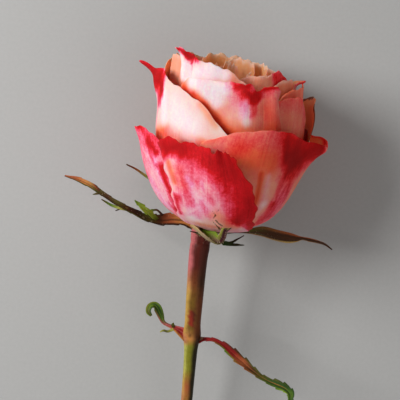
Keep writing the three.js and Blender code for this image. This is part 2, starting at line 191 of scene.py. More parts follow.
def add_uv(data, uv):
    """Sets the UV map called along from one place for each vertex."""
    corners = np.zeros(len(data.loops), np.int32)
    data.loops.foreach_get("vertex_index", corners)
    layer = data.uv_layers.get("along") or data.uv_layers.new(name="along")
    layer.data.foreach_set("uv", np.asarray(uv, np.float32)[corners].ravel())


def new_mesh(name, points, faces, fields=None, uv=None, material=None):
    """A piece with smooth faces, named fields on its vertices and a UV map of the same length as points."""
    data = bpy.data.meshes.new(name)
    data.from_pydata([tuple(p) for p in points], [], [tuple(int(i) for i in f) for f in faces])
    for key, values in (fields or {}).items():
        add_field(data, key, values)
    if uv is not None:
        add_uv(data, uv)
    data.shade_smooth()
    if material is not None:
        data.materials.append(material)
    return placed(name, data)


# %% [markdown]
# ## A petal as a formula
#
# Each petal is a strip of the cup that the bloom forms: a profile of radius and height, wrapped round the
# axis by its width. Then its rim rolls outward over a cylinder, its edge waves, a pleat or two stands up and
# a tip is pulled aside. The stem doesn't meet the bloom in its middle but to the left of it. So places near
# the axis are shifted over to the stem, and those that lean out past it are lifted. The solids use the same
# formula on a coarse grid, without that lift and with some plainer numbers. Here the grid is fine enough
# for ragged rims, and each petal also carries fields that say how crimson, golden or pale it is at each
# point.

# %% The petal
FOOT = -5.2  # mm, sideways shift of the petals' feet
FOOT_REACH = 15  # mm, radius at which it has faded out
FOOT_RISE = 4.0  # mm that the petals' undersides rise beside the foot
LEAST_BEND = 2.5  # mm, the tightest radius that a petal wraps round
TUCKED = 0.45  # share of a petal's length over which one side slips under its neighbour
ROLL_LEVEL = 0.55  # share of its length from which a roll's distance is measured
MOST_ROLL = math.pi * 1.25  # how far round its cylinder a rim can roll
PROBE = 0.25  # mm, half the step that measures which way a petal faces


def scaled(profile, k, kz, rim=0.0, top=0.0):
    """A profile widened by k and stretched by kz, with its rim moved out by rim and up by top."""
    last = len(profile) - 1
    weights = [max(0.0, (i / last - 0.5) * 2) ** 1.5 for i in range(last + 1)]
    return [(r * k + rim * w, z * kz + top * w) for (r, z), w in zip(profile, weights)]


def side(w):
    """Half widths of a plain petal from its foot to its rim."""
    return [w * k for k in (0.28, 0.66, 0.93, 1.0, 0.86)]


def footed(p):
    """Points with those near the axis moved to the stem's top, and lifted where they lean out past it."""
    near = 1 - smooth(np.hypot(p[..., 0], p[..., 1]) / FOOT_REACH)
    p[..., 0] += FOOT * near
    p[..., 2] += FOOT_RISE * near * smooth((FOOT + 2 - p[..., 0]) / 5)
    return p


class Petal:
    """One petal: its shape, the sheet's fineness, and the marks painted on it."""

    def __init__(self, name, turn, profile, left, right, rim, **more):
        self.name = name
        self.turn = math.radians(turn)
        self.path, self.length = spline(profile)
        self.left = side(left) if np.isscalar(left) else left
        self.right = side(right) if np.isscalar(right) else right
        self.rim = rim
        self.wide = max(*self.left, *self.right)
        self.tuck = more.get("tuck", 0.8)
        self.rolls = more.get("rolls", [])
        self.wave = more.get("wave", (0.6, 2.0, 0.0))
        self.pleats = more.get("pleats", [])
        self.pulls = more.get("pulls", [])
        self.ragged = more.get("ragged", 0.5)
        self.seed = more.get("seed", 1.0)
        self.grid = more.get("grid", (56, 52))
        self.marks = more.get("marks", {})
        self.upright = more.get("upright", False)

    def base(self, x, y):
        """The plain cup at x mm across and y mm up the petal."""
        s = y / self.length
        at = np.clip(s, 0, 1) * STEPS
        r = np.interp(at, np.arange(STEPS + 1), self.path[:, 0])
        z = np.interp(at, np.arange(STEPS + 1), self.path[:, 1])
        end = (self.path[-1] - self.path[-4]) * STEPS / 3
        beyond = np.maximum(s - 1, 0)
        r = r + beyond * end[0] + self.tuck * x * smooth(s / TUCKED) / self.wide
        z = z + beyond * end[1]
        bend = np.maximum(r, LEAST_BEND)
        f = r - bend + bend * np.cos(x / bend)
        g = bend * np.sin(x / bend)
        c, n = math.cos(self.turn), math.sin(self.turn)
        p = np.stack([f * n + g * c, g * n - f * c, z], -1)
        return p if self.upright else footed(p)

    def plan(self, u, v):
        """Where u (-1 to 1 across) and v (0 to 1 up) lie on the flat petal, in mm, with its ragged edge."""
        wide = np.where(u < 0, ease(self.left, v), ease(self.right, v))
        nick = np.sin(31 * v + self.seed) + 0.7 * np.sin(67 * v + 2.3 * self.seed)
        x = u * (wide + 0.35 * self.ragged * nick * np.abs(u) ** 6 * smooth(v / 0.5))
        notch = np.sin(19 * u + 1.7 * self.seed) + 0.6 * np.sin(43 * u + self.seed)
        y = self.length * v * ease(self.rim, (u + 1) / 2) + 0.3 * self.ragged * notch * v**6
        return x, y

    def surface(self, u, v):
        """The petal's middle surface in the rose's frame."""
        x, y = self.plan(u, v)
        p = self.base(x, y)
        across = unit(self.base(x + PROBE, y) - self.base(x - PROBE, y))
        along = unit(self.base(x, y + PROBE) - self.base(x, y - PROBE))
        out = unit(np.cross(across, along))
        move = np.zeros_like(p)
        for angle, start, radius in self.rolls:
            ca, sa = math.cos(math.radians(angle)), math.sin(math.radians(angle))
            d = np.maximum(x * ca + (y - ROLL_LEVEL * self.length) * sa - start, 0)
            bent = np.minimum(d / radius, MOST_ROLL)
            slide = radius * np.sin(bent) - d
            move += (ca * across + sa * along) * slide[..., None]
            move += out * (radius * (1 - np.cos(bent)))[..., None]
        depth, ripples, phase = self.wave
        lift = depth * v**3 * np.sin(ripples * np.pi * u + phase)
        lift += 0.25 * depth * v**2 * np.sin(5.3 * u + 4 * v + 2.1 * phase)
        lift += 0.22 * self.ragged * v**10 * np.sin(17 * u + 3 * self.seed)
        for at, slant, width, height, start in self.pleats:
            rise = np.clip((v - start) / (1 - start), 0, 1)
            lift += height * rise * np.exp(-(((u - at - slant * (1 - v)) / width) ** 2))
        for pu, pv, reach, shift in self.pulls:
            at = self.plan(np.array([float(pu)]), np.array([float(pv)]))
            far = np.hypot(x - at[0][0], y - at[1][0]) / reach
            move += np.exp(-(far**2))[..., None] * np.array(shift)
        return p + move + out * lift[..., None]


# %% [markdown]
# ## Marks on a petal
#
# The rose's colours aren't one pattern. Crimson runs along the rims and bleeds down in streaks, the foot and
# the inner face are golden, the pale parts are cream, and a rim is bruised brown here and there. Two fields
# also carry painted light: the golden one lays warm shade and glow where petals shade each other and on
# those turned from the lamp, and the pale one lays highlights on lit rims, ridges and notches. Each is a
# field on the petal's vertices, from 0 to 1 or a little over: a band of a stated depth along an edge, or a
# stroke from one place to another. The shader later turns the fields into colour and breaks their soft edges
# up with fine veins.

# %% Paint fields
# the golden field also carries painted warm shade and glow, and the pale field painted highlights
FIELDS = ("blush", "gold", "bleach", "bruise")
WANDERING = ("blush", "bruise")  # the fields whose edges wander
FULL = 1.2  # the most that a field reaches
SHALLOWEST = 0.3  # mm, the least depth at which a band is painted
WANDER = [(15.0, 0.8), (6.7, 0.4), (3.1, 0.2), (1.7, 0.1)]  # lengths and pushes in mm


def wandered(x, y, seed):
    """Places on the petal pushed about by waves, so that a painted edge wanders as a grown one does."""
    for n, (length, push) in enumerate(WANDER):
        k = 2 * math.pi / length
        across = push * np.sin(k * (0.5 * y + 0.8 * x) + seed + 1.7 * n)
        up = 1.2 * push * np.sin(k * (0.9 * x - 0.4 * y) + 2.1 * seed + n)
        x, y = x + across, y + up
    return x, y


def stroke(petal, x, y, mark):
    """How strongly one stroke covers the places x, y. Its ends are (u, v), its width is in mm."""
    u0, v0, u1, v1, width, strength = mark
    ends = [petal.plan(np.array([float(a)]), np.array([float(b)])) for a, b in ((u0, v0), (u1, v1))]
    (ax, ay), (bx, by) = [(e[0][0], e[1][0]) for e in ends]
    run = max((bx - ax) ** 2 + (by - ay) ** 2, 1e-9)
    t = np.clip(((x - ax) * (bx - ax) + (y - ay) * (by - ay)) / run, 0, 1)
    far = np.hypot(x - ax - t * (bx - ax), y - ay - t * (by - ay))
    return strength * (1 - smooth(far / width, 0.0, 1.35))


def layered(field, cover):
    """A field with one more cover laid over it, so that two soft edges meet softly."""
    return FULL - (FULL - field) * (1 - np.clip(cover, 0, FULL) / FULL)


def edge_band(band, along, distance):
    """How strongly a band covers each point, from its strength and its depths in mm along the edge."""
    strength, depths = band
    depth = np.maximum(ease(depths, along), 0.01)
    return np.where(depth > SHALLOWEST, strength * (1 - smooth(distance / depth, 0.1, 1.5)), 0.0)


def paint(petal, u, v):
    """Fields of a petal: blush (pink to crimson), the golden field (peach to orange, also painted warm shade
    and glow), the pale field (white, also painted highlights) and bruise (brown).

    A stroke of negative strength takes colour away from the strokes listed before it.
    """
    flat = petal.plan(u, v)
    top = petal.length * ease(petal.rim, (u + 1) / 2)
    wide = np.where(u < 0, ease(petal.left, v), ease(petal.right, v))
    marks = petal.marks
    fields = {}
    for key in FIELDS:
        x, y = wandered(*flat, petal.seed) if key in WANDERING else flat
        field = np.full(u.shape, float(marks.get(key + "_all", 0.0)))
        if key + "_rim" in marks:
            field = layered(field, edge_band(marks[key + "_rim"], (u + 1) / 2, top - y))
        if key + "_left" in marks:
            field = layered(field, np.where(u < 0, edge_band(marks[key + "_left"], v, wide + x), 0))
        if key + "_right" in marks:
            field = layered(field, np.where(u > 0, edge_band(marks[key + "_right"], v, wide - x), 0))
        for mark in marks.get(key, []):
            cover = stroke(petal, x, y, mark)
            field = layered(field, cover) if mark[-1] > 0 else field * (1 + cover)
        fields[key] = field
    return fields


# %% From a petal to a piece
THICK = 0.42  # mm in the middle of a petal
THIN_RIM = 0.2  # and at its rim
UV_STEP = 1.3  # sideways shift of the UV map from one piece to the next, so that no two have the same veins


def spread(count, crowd):
    """Steps from -1 to 1 that crowd towards both ends."""
    t = np.linspace(-1, 1, count)
    return np.sign(t) * (1 - (1 - np.abs(t)) ** crowd)


def petal_arrays(petal, number):
    """A petal's closed sheet with its fields and UV map."""
    columns, rows = petal.grid
    u, v = np.meshgrid(spread(columns, 1.25), 1 - (1 - np.linspace(0, 1, rows)) ** 1.15)
    middle = petal.surface(u, v)
    middle = lay(middle) if not petal.upright else middle * MM
    thick = (THIN_RIM + (THICK - THIN_RIM) * smooth((1 - v) / 0.25) * smooth((1 - np.abs(u)) / 0.2)) * MM
    points, faces = closed_sheet(middle, thick, pressed=not petal.upright)
    fields = {key: np.tile(value.ravel(), 2) for key, value in paint(petal, u, v).items()}
    fields["inside"] = np.repeat([0.0, 1.0], u.size)
    uv = np.tile(np.stack([u.ravel() / 2 + 0.5 + UV_STEP * number, v.ravel()], 1), (2, 1))
    return points, faces, fields, uv


def petal_piece(petal, number, material):
    """One petal as a piece. Its number shifts its veins."""
    return new_mesh(petal.name, *petal_arrays(petal, number), material)


# %% [markdown]
# ## Shader maths as Python
#
# A node tree is easier to read as a formula. One small class wraps a socket and overloads the operators, so
# that an expression adds its Math nodes. Every other node comes from one method that takes the node's type,
# its settings and what goes into its sockets.

# %% Nodes as expressions
class Value:
    """An output socket that takes part in arithmetic."""

    def __init__(self, tree, socket):
        self.tree = tree
        self.socket = socket

    def math(self, operation, a, b):
        """A Math node on a and b."""
        return self.tree.node("ShaderNodeMath", {"operation": operation}, {0: a, 1: b})

    def __add__(self, other):
        return self.math("ADD", self, other)

    def __radd__(self, other):
        return self.math("ADD", other, self)

    def __sub__(self, other):
        return self.math("SUBTRACT", self, other)

    def __rsub__(self, other):
        return self.math("SUBTRACT", other, self)

    def __mul__(self, other):
        return self.math("MULTIPLY", self, other)

    def __rmul__(self, other):
        return self.math("MULTIPLY", other, self)

    def clip(self):
        """The same, kept between 0 and 1."""
        return self.tree.node("ShaderNodeClamp", {}, {"Value": self})

    def rise(self, low, high):
        """0 below low, 1 above high, smooth between."""
        limits = {"Value": self, "From Min": low, "From Max": high}
        return self.tree.node("ShaderNodeMapRange", {"interpolation_type": "SMOOTHSTEP"}, limits)


class Tree:
    """A node tree, for a material or for geometry."""

    def __init__(self, tree):
        self.tree = tree

    def node(self, kind, settings=None, sockets=None, out=0):
        """One output of a new node, whose settings are made first and then its sockets set or linked."""
        made = self.tree.nodes.new(kind)
        for key, setting in (settings or {}).items():
            if key == "stops":
                self.set_stops(made.color_ramp, setting)
            else:
                setattr(made, key, setting)
        for key, given in (sockets or {}).items():
            if isinstance(given, Value):
                self.tree.links.new(given.socket, made.inputs[key])
            else:
                made.inputs[key].default_value = given
        return Value(self, made.outputs[out])

    @staticmethod
    def set_stops(ramp, stops):
        """Gives a colour ramp its (place, colour) stops."""
        while len(ramp.elements) < len(stops):
            ramp.elements.new(0.5)
        for element, (place, colour) in zip(ramp.elements, stops):
            element.position = place
            element.color = (*colour, 1)

    def attribute(self, name, out=2):
        """A field on the vertices: out 2 is its number, and out 0 its colour."""
        return self.node("ShaderNodeAttribute", {"attribute_name": name}, out=out)

    def object_place(self):
        """The place on the object, in metres."""
        return self.node("ShaderNodeTexCoord", out=3)

    def uv(self):
        """The place on the piece's own UV map."""
        return self.node("ShaderNodeUVMap", {"uv_map": "along"})

    def stretched(self, vector, scale):
        """The same places with each axis scaled."""
        return self.node("ShaderNodeMapping", {}, {"Vector": vector, "Scale": scale})

    def noise(self, vector, scale, detail=3.0, rough=0.5):
        """Cloudy values from 0 to 1."""
        sockets = {"Vector": vector, "Scale": scale, "Detail": detail, "Roughness": rough}
        return self.node("ShaderNodeTexNoise", {}, sockets)

    def ramp(self, factor, stops):
        """The colour that a factor has on a ramp of stops."""
        return self.node("ShaderNodeValToRGB", {"stops": stops}, {"Fac": factor})

    def mix(self, factor, a, b, how="MIX"):
        """A colour between a and b."""
        a, b = [(*c, 1) if isinstance(c, tuple) else c for c in (a, b)]
        settings = {"data_type": "RGBA", "blend_type": how}
        return self.node("ShaderNodeMix", settings, {0: factor, 6: a, 7: b}, out=2)

    def bump(self, height, strength, distance):
        """A normal for a relief that is distance metres deep."""
        return self.node("ShaderNodeBump", {}, {"Height": height, "Strength": strength, "Distance": distance})


def new_material(name, **constants):
    """A material, its tree and its Principled shader with the constants set on their sockets."""
    material = bpy.data.materials.new(name)
    material.use_nodes = True
    shader = material.node_tree.nodes["Principled BSDF"]
    for key, value in constants.items():
        shader.inputs[key.replace("_", " ")].default_value = value
    return material, Tree(material.node_tree), shader


def drive(shader, **sockets):
    """Links each value to the shader's socket of that name."""
    for key, value in sockets.items():
        shader.id_data.links.new(value.socket, shader.inputs[key.replace("_", " ")])


# %% [markdown]
# ## The petals' skin
#
# A petal is matt, and light goes a little way into it, so the shader scatters light under the skin and has
# hardly any gloss. The colour is built in layers. A ground runs from cream through peach to deep orange by
# the golden field, and the pale field turns it nearly white. Its orange end also stands for painted warm
# shade and glow, and the white for painted highlights. Crimson could be mixed over that, but a pigment works
# as a filter: the more blush there is, the less of the ground's colour it lets through. Veins that run from
# the foot to the rim, and finer grain, break its edge up.

# %% Petal material
# the deep end of the ground, ORANGE and EMBER, also serves as painted warm shade
CREAM = (0.98, 0.58, 0.54)
WHITE = (1.0, 0.74, 0.74)
PEACH = (0.96, 0.33, 0.22)
ORANGE = (0.90, 0.15, 0.055)
EMBER = (0.72, 0.055, 0.018)
GOLDEN = (0.93, 0.40, 0.16)
BRUISE = (0.13, 0.04, 0.012)

# What crimson lets through of the ground's colour, the more of it the less
BLUSH = [
    (0.0, (1.0, 1.0, 1.0)), (0.15, (0.99, 0.66, 0.88)), (0.3, (0.96, 0.36, 0.62)), (0.5, (0.88, 0.12, 0.27)),
    (0.74, (0.62, 0.012, 0.028)), (1.0, (0.30, 0.002, 0.006)),
]
MATT = 0.12  # how much gloss a living skin keeps


def petal_skin():
    """Cream to orange by the golden field, which also paints warm shade and glow, white by the pale field,
    which also paints highlights, crimson by blush and brown by bruise, broken up by veins.
    """
    material, tree, shader = new_material(
        "petal_skin",
        Subsurface_Weight=0.6,
        Subsurface_Radius=(1.0, 0.35, 0.22),
        Subsurface_Scale=0.0018,
        Specular_IOR_Level=MATT,
    )
    along = tree.uv()
    place = tree.object_place()
    veins = tree.noise(tree.stretched(along, (44, 2.2, 1)), 1.0, 4.0, 0.65)
    streaks = tree.noise(tree.stretched(along, (10, 1.2, 1)), 1.0, 2.0, 0.5)
    mottle = tree.noise(place, 380, 4.0, 0.65)
    patches = tree.noise(place, 130, 2.0, 0.5)
    speckle = tree.noise(place, 1400, 3.0, 0.7)
    blush, gold, bleach, bruise = [tree.attribute(key) for key in FIELDS]
    inside = tree.attribute("inside")
    # painted shade: the ramp's orange end also stands for warm shade and glow in recesses
    warm = (gold + 0.25 * (streaks - 0.5)).clip()
    ground = tree.ramp(warm, [(0.0, CREAM), (0.4, PEACH), (0.75, ORANGE), (1.0, EMBER)])
    ground = tree.mix(0.5 * inside, ground, GOLDEN)
    # painted highlight: the white mix also lays highlights on lit rims, ridges and notches
    pale = (bleach + 0.35 * (veins - 0.5)).rise(0.1, 0.9)
    ground = tree.mix(pale, ground, WHITE)
    grain = 0.9 * (veins - 0.5) + 0.35 * (streaks - 0.5) + 0.9 * (mottle - 0.5) + 0.5 * (patches - 0.5)
    grain = grain + 0.9 * (speckle - 0.5)
    loose = 0.12 + 1.9 * (blush * (1.15 - blush)).clip()
    broken = blush + grain * loose
    colour = tree.mix(1.0, ground, tree.ramp(0.83 * broken, BLUSH), "MULTIPLY")
    colour = tree.mix((bruise + 0.5 * (mottle - 0.5)).rise(0.35, 0.8), colour, BRUISE)
    relief = 0.6 * veins + 0.25 * mottle + 0.3 * streaks + 0.15 * speckle
    rough = 0.55 + 0.2 * mottle
    drive(shader, Base_Color=colour, Roughness=rough, Normal=tree.bump(relief, 0.45, 0.0006))
    return material


PETAL_SKIN = petal_skin()
print("material:", PETAL_SKIN.name)

# %% [markdown]
# ## Five outer petals
#
# The outer petals are the shortest and have opened first. The front one has a crimson top and a ragged right
# margin, the left one hot pink streaks, and the right one leans out to a rolled corner. Two more close the
# back, where the flower lies on them.

# %% Outer petals
OUTER = [(2.5, 0.2), (12, 2.6), (20.5, 9.0), (25.3, 20), (26.8, 34)]

OUTER_PETALS = [
    Petal(
        "petal_outer_front", -12, scaled(OUTER, 1.07, 1, 0.5), [6, 10.5, 11, 13, 18.5],
        [6, 11.8, 14.2, 14, 7.5],
        [0.87, 0.925, 0.935, 0.925, 0.92, 0.918, 0.905, 0.888, 0.905, 0.9, 0.89, 0.88, 0.86], tuck=0.6,
        rolls=[(90, 18, 9)], wave=(0.6, 2.2, 0.5), ragged=1.1, seed=1.2, grid=(96, 80),
        marks={
            "blush_all": 0.15,
            "blush_rim": (1.0, [5, 5.5, 6, 6, 6.5, 7.5, 9.5, 10.5, 10, 9]),
            "blush_right": (1.0, [0, 0, 0, 2, 5, 8, 9.8, 11, 11]),
            "blush": [
                (-0.87, 0.96, -0.55, 0.93, 3.6, 1.15), (-0.5, 0.93, 0.0, 0.9, 2.4, 0.35),
                (0.3, 0.86, 0.5, 0.7, 3.4, 0.6), (0.8, 0.7, 0.66, 0.5, 4.0, 0.9),
                (0.66, 0.5, 0.7, 0.43, 2.0, 0.7), (-0.84, 0.62, -0.8, 0.47, 1.3, 0.75),
                (-0.62, 0.68, -0.5, 0.6, 3.0, 0.4), (-0.1, 0.56, -0.05, 0.5, 2.4, 0.3),
                (0.0, 0.68, 0.1, 0.64, 2.2, 0.25), (-0.35, 0.8, -0.1, 0.78, 4, 0.35),
                (-0.7, 0.86, -0.68, 0.76, 2.6, 0.35), (0.62, 0.93, 0.78, 0.84, 2.6, 0.1),
                # the second stroke on the next line is partly the foot's own cream and partly painted light,
                # paling the foot that faces down into shade
                (-0.4, 0.47, -0.3, 0.42, 1.6, 0.3), (-0.3, 0.36, 0.3, 0.4, 4.6, -0.8),
            ],
            "bleach": [
                (-0.48, 0.77, -0.38, 0.72, 1.3, 0.7), (-0.15, 0.77, -0.1, 0.72, 1.2, 0.5),
                (-0.32, 0.66, -0.15, 0.54, 3.4, 0.5), (-0.5, 0.52, -0.42, 0.44, 3.6, 0.45),
                (0.02, 0.64, 0.05, 0.58, 2.6, 0.35), (-0.5, 0.4, 0.2, 0.4, 3.0, 0.4),
                # these three strokes along the right margin are painted highlights on its notches
                (0.97, 0.9, 1, 0.895, 0.9, 0.8), (0.95, 0.8, 1, 0.795, 0.8, 0.7),
                (0.97, 0.67, 1, 0.65, 1.0, 0.8),
            ],
            "gold_all": 0.08,
            "gold": [
                (-0.2, 0.35, 0.4, 0.38, 4.0, 0.4), (0.2, 0.52, 0.6, 0.42, 3, 0.4),
                (-0.86, 0.85, -0.84, 0.72, 1.4, 0.6), (-0.66, 0.8, -0.62, 0.7, 2.4, 0.3),
            ],
            "bruise": [
                (0.05, 0.43, 0.12, 0.37, 0.55, 1.1), (0.19, 0.45, 0.29, 0.4, 0.55, 1.2),
                (0.14, 0.56, 0.2, 0.5, 0.4, 0.7), (0.2, 0.5, 0.13, 0.47, 0.4, 0.7),
                (0.3, 0.59, 0.2, 0.5, 0.35, 0.5), (0.12, 0.37, 0.13, 0.33, 0.5, 1.0),
            ],
        },
    ),
    Petal(
        "petal_outer_left", -76, scaled(OUTER, 1, 1, 2.0, 2), 24, 24,
        [0.62, 0.69, 0.76, 0.83, 0.88, 0.87, 0.9, 0.905, 0.895, 0.85, 0.76, 0.68, 0.6], tuck=-1,
        rolls=[(90, 17, 5)], wave=(0.8, 1.6, 1.5), pulls=[(-0.02, 1, 3, (-0.9, 0, 0))], ragged=0.8,
        seed=2.7, grid=(80, 70),
        marks={
            "blush_all": 0.26,
            "blush_rim": (0.35, [3, 3, 4, 4, 5, 4, 3]),
            "blush": [
                (0.02, 0.99, 0.12, 0.975, 1.7, 1.1), (0.2, 0.98, 0.42, 0.96, 2.4, 0.55),
                (0.3, 0.93, 0.47, 0.9, 1.8, 0.9), (0.3, 0.88, 0.4, 0.77, 1.4, 0.6),
                (0.5, 0.76, 0.515, 0.62, 2.6, 0.9), (0.52, 0.57, 0.49, 0.43, 2.6, 0.85),
                (0.48, 0.45, 0.45, 0.36, 1.6, 0.7), (-0.02, 0.92, 0.03, 0.66, 2.4, 0.3),
                (0.15, 0.9, 0.22, 0.76, 1.6, 0.3),
            ],
            "bleach": [
                (0.38, 0.84, 0.42, 0.68, 1.4, 0.9), (0.14, 0.6, 0.24, 0.44, 3.6, 0.8),
                (0.2, 0.86, 0.28, 0.74, 1.0, 0.5),
            ],
            "gold_all": 0.05,
            "gold": [(0, 0.25, 0.5, 0.27, 8, 0.4)],
            "bruise": [(0.09, 1, 0.13, 1, 0.4, 0.6)],
        },
    ),
    Petal(
        "petal_outer_right", 36, scaled(OUTER, 0.89, 1, 2.5, 2), [6, 16, 24, 27, 25],
        [5, 10.5, 13, 18, 32],
        [0.88, 0.92, 0.96, 0.985, 1, 1.005, 0.995, 0.965, 0.93, 0.94, 0.94, 0.93, 0.91], tuck=-0.2,
        rolls=[(90, 22.5, 7)], wave=(0.5, 1.6, 2.5),
        pulls=[
            (0.56, 0.97, 6.5, (3.5, -1.0, -1.4)), (0.6, 1, 3.5, (1.2, 0, -1.6)),
            (0.75, 1, 4, (2.5, 0, -0.5)),
        ],
        ragged=0.5, seed=3.9, grid=(130, 84),
        marks={
            "blush_all": 0.1,
            "blush": [
                (0.06, 0.99, 0.12, 0.86, 3.2, 1.1), (0.22, 0.97, 0.3, 0.84, 5.5, 1.15),
                (0.45, 0.95, 0.42, 0.84, 5, 1.1), (0.5, 0.98, 0.57, 0.94, 3.2, 1.1),
                (0.14, 0.86, 0.2, 0.74, 3.4, 0.8), (0.18, 0.7, 0.24, 0.5, 1.8, 0.5),
                (0.22, 0.5, 0.28, 0.34, 1.8, 0.5), (0.36, 0.78, 0.5, 0.66, 4, 0.55),
                (0.5, 0.62, 0.5, 0.4, 4, 0.4), (-0.06, 0.97, 0.0, 0.84, 3, 0.4),
                (0.62, 1.0, 0.95, 0.99, 1.2, 0.7), (0.35, 0.64, 0.4, 0.42, 1.0, 0.35),
                (-0.7, 0.93, -0.2, 0.93, 5, 0.3), (0.5, 0.75, 0.54, 0.55, 1.2, 0.3),
            ],
            "bleach": [
                # partly a pale stripe of the petal's own and partly painted light where the front petal's
                # edge shades it
                (-0.1, 0.7, -0.03, 0.5, 2.2, 0.35), (-0.03, 0.5, -0.1, 0.33, 1.8, 0.35),
                (0.34, 0.6, 0.36, 0.42, 0.7, 0.3),
            ],
            # painted warm shade: this petal is turned from the lamp, so its ground is laid orange all over,
            # and more at its upper left
            "gold_all": 0.5,
            "gold": [
                (-0.5, 0.84, -0.15, 0.8, 6, 0.5), (-0.2, 0.72, -0.16, 0.5, 1.0, 0.8),
                (0.35, 0.8, 0.45, 0.7, 4, 0.3), (0.45, 0.6, 0.5, 0.4, 5, -0.5),
                (0.0, 0.66, 0.0, 0.4, 2.4, -0.2),
            ],
            "bruise": [(-0.22, 0.72, -0.17, 0.48, 0.8, 0.4), (0.98, 1, 1, 0.97, 0.6, 0.6)],
        },
    ),
    Petal(
        "petal_outer_back_right", 116, scaled(OUTER, 0.88, 1, 0.6, 1), 24, 24, [0.7, 0.93, 1, 0.93, 0.7],
        tuck=1.2, rolls=[(90, 15, 7)], wave=(0.8, 1.8, 0.5), seed=4.4,
        marks={
            "blush_rim": (1.1, [6, 9, 12, 9, 6]),
            "blush": [
                (0.3, 0.9, 0.2, 0.3, 4, 0.6), (-0.35, 0.9, -0.3, 0.5, 5, 0.55),
                (0.05, 0.8, 0.0, 0.6, 4, 0.5),
            ],
            "bleach": [(-0.1, 0.6, 0.1, 0.4, 6, 0.6)],
            "gold_all": 0.35,
            "gold": [(-0.5, 0.2, 0.5, 0.2, 8, 0.6)],
        },
    ),
    Petal(
        "petal_outer_back", 184, scaled(OUTER, 1, 1, 0.4, 1), 24, 24, [0.7, 0.93, 1, 0.93, 0.7], tuck=1.2,
        rolls=[(90, 17, 7)], wave=(0.8, 1.8, 2.5), seed=5.8,
        marks={
            "blush_rim": (1.1, [5, 8, 10, 12, 7]),
            "blush": [
                (-0.3, 0.9, -0.2, 0.3, 4, 0.6), (0.4, 0.9, 0.35, 0.45, 5, 0.6),
                (0, 0.85, 0.05, 0.6, 4, 0.5),
            ],
            "bleach": [(0.05, 0.6, 0.1, 0.4, 7, 0.6), (-0.6, 0.6, -0.5, 0.4, 5, 0.5)],
            "gold_all": 0.2,
            "gold": [(-0.5, 0.2, 0.5, 0.2, 8, 0.6)],
        },
    ),
]

# %% [markdown]
# ## Seven middle petals
#
# The middle petals are half as tall again and still cup the heart. Where one tucks behind the next, light
# between them turns golden, so the fields there are warm.

# %% Middle petals
MIDDLE = [(2.5, 0.5), (10, 4), (17.5, 12), (22.2, 26), (22.8, 40), (21.5, 53)]

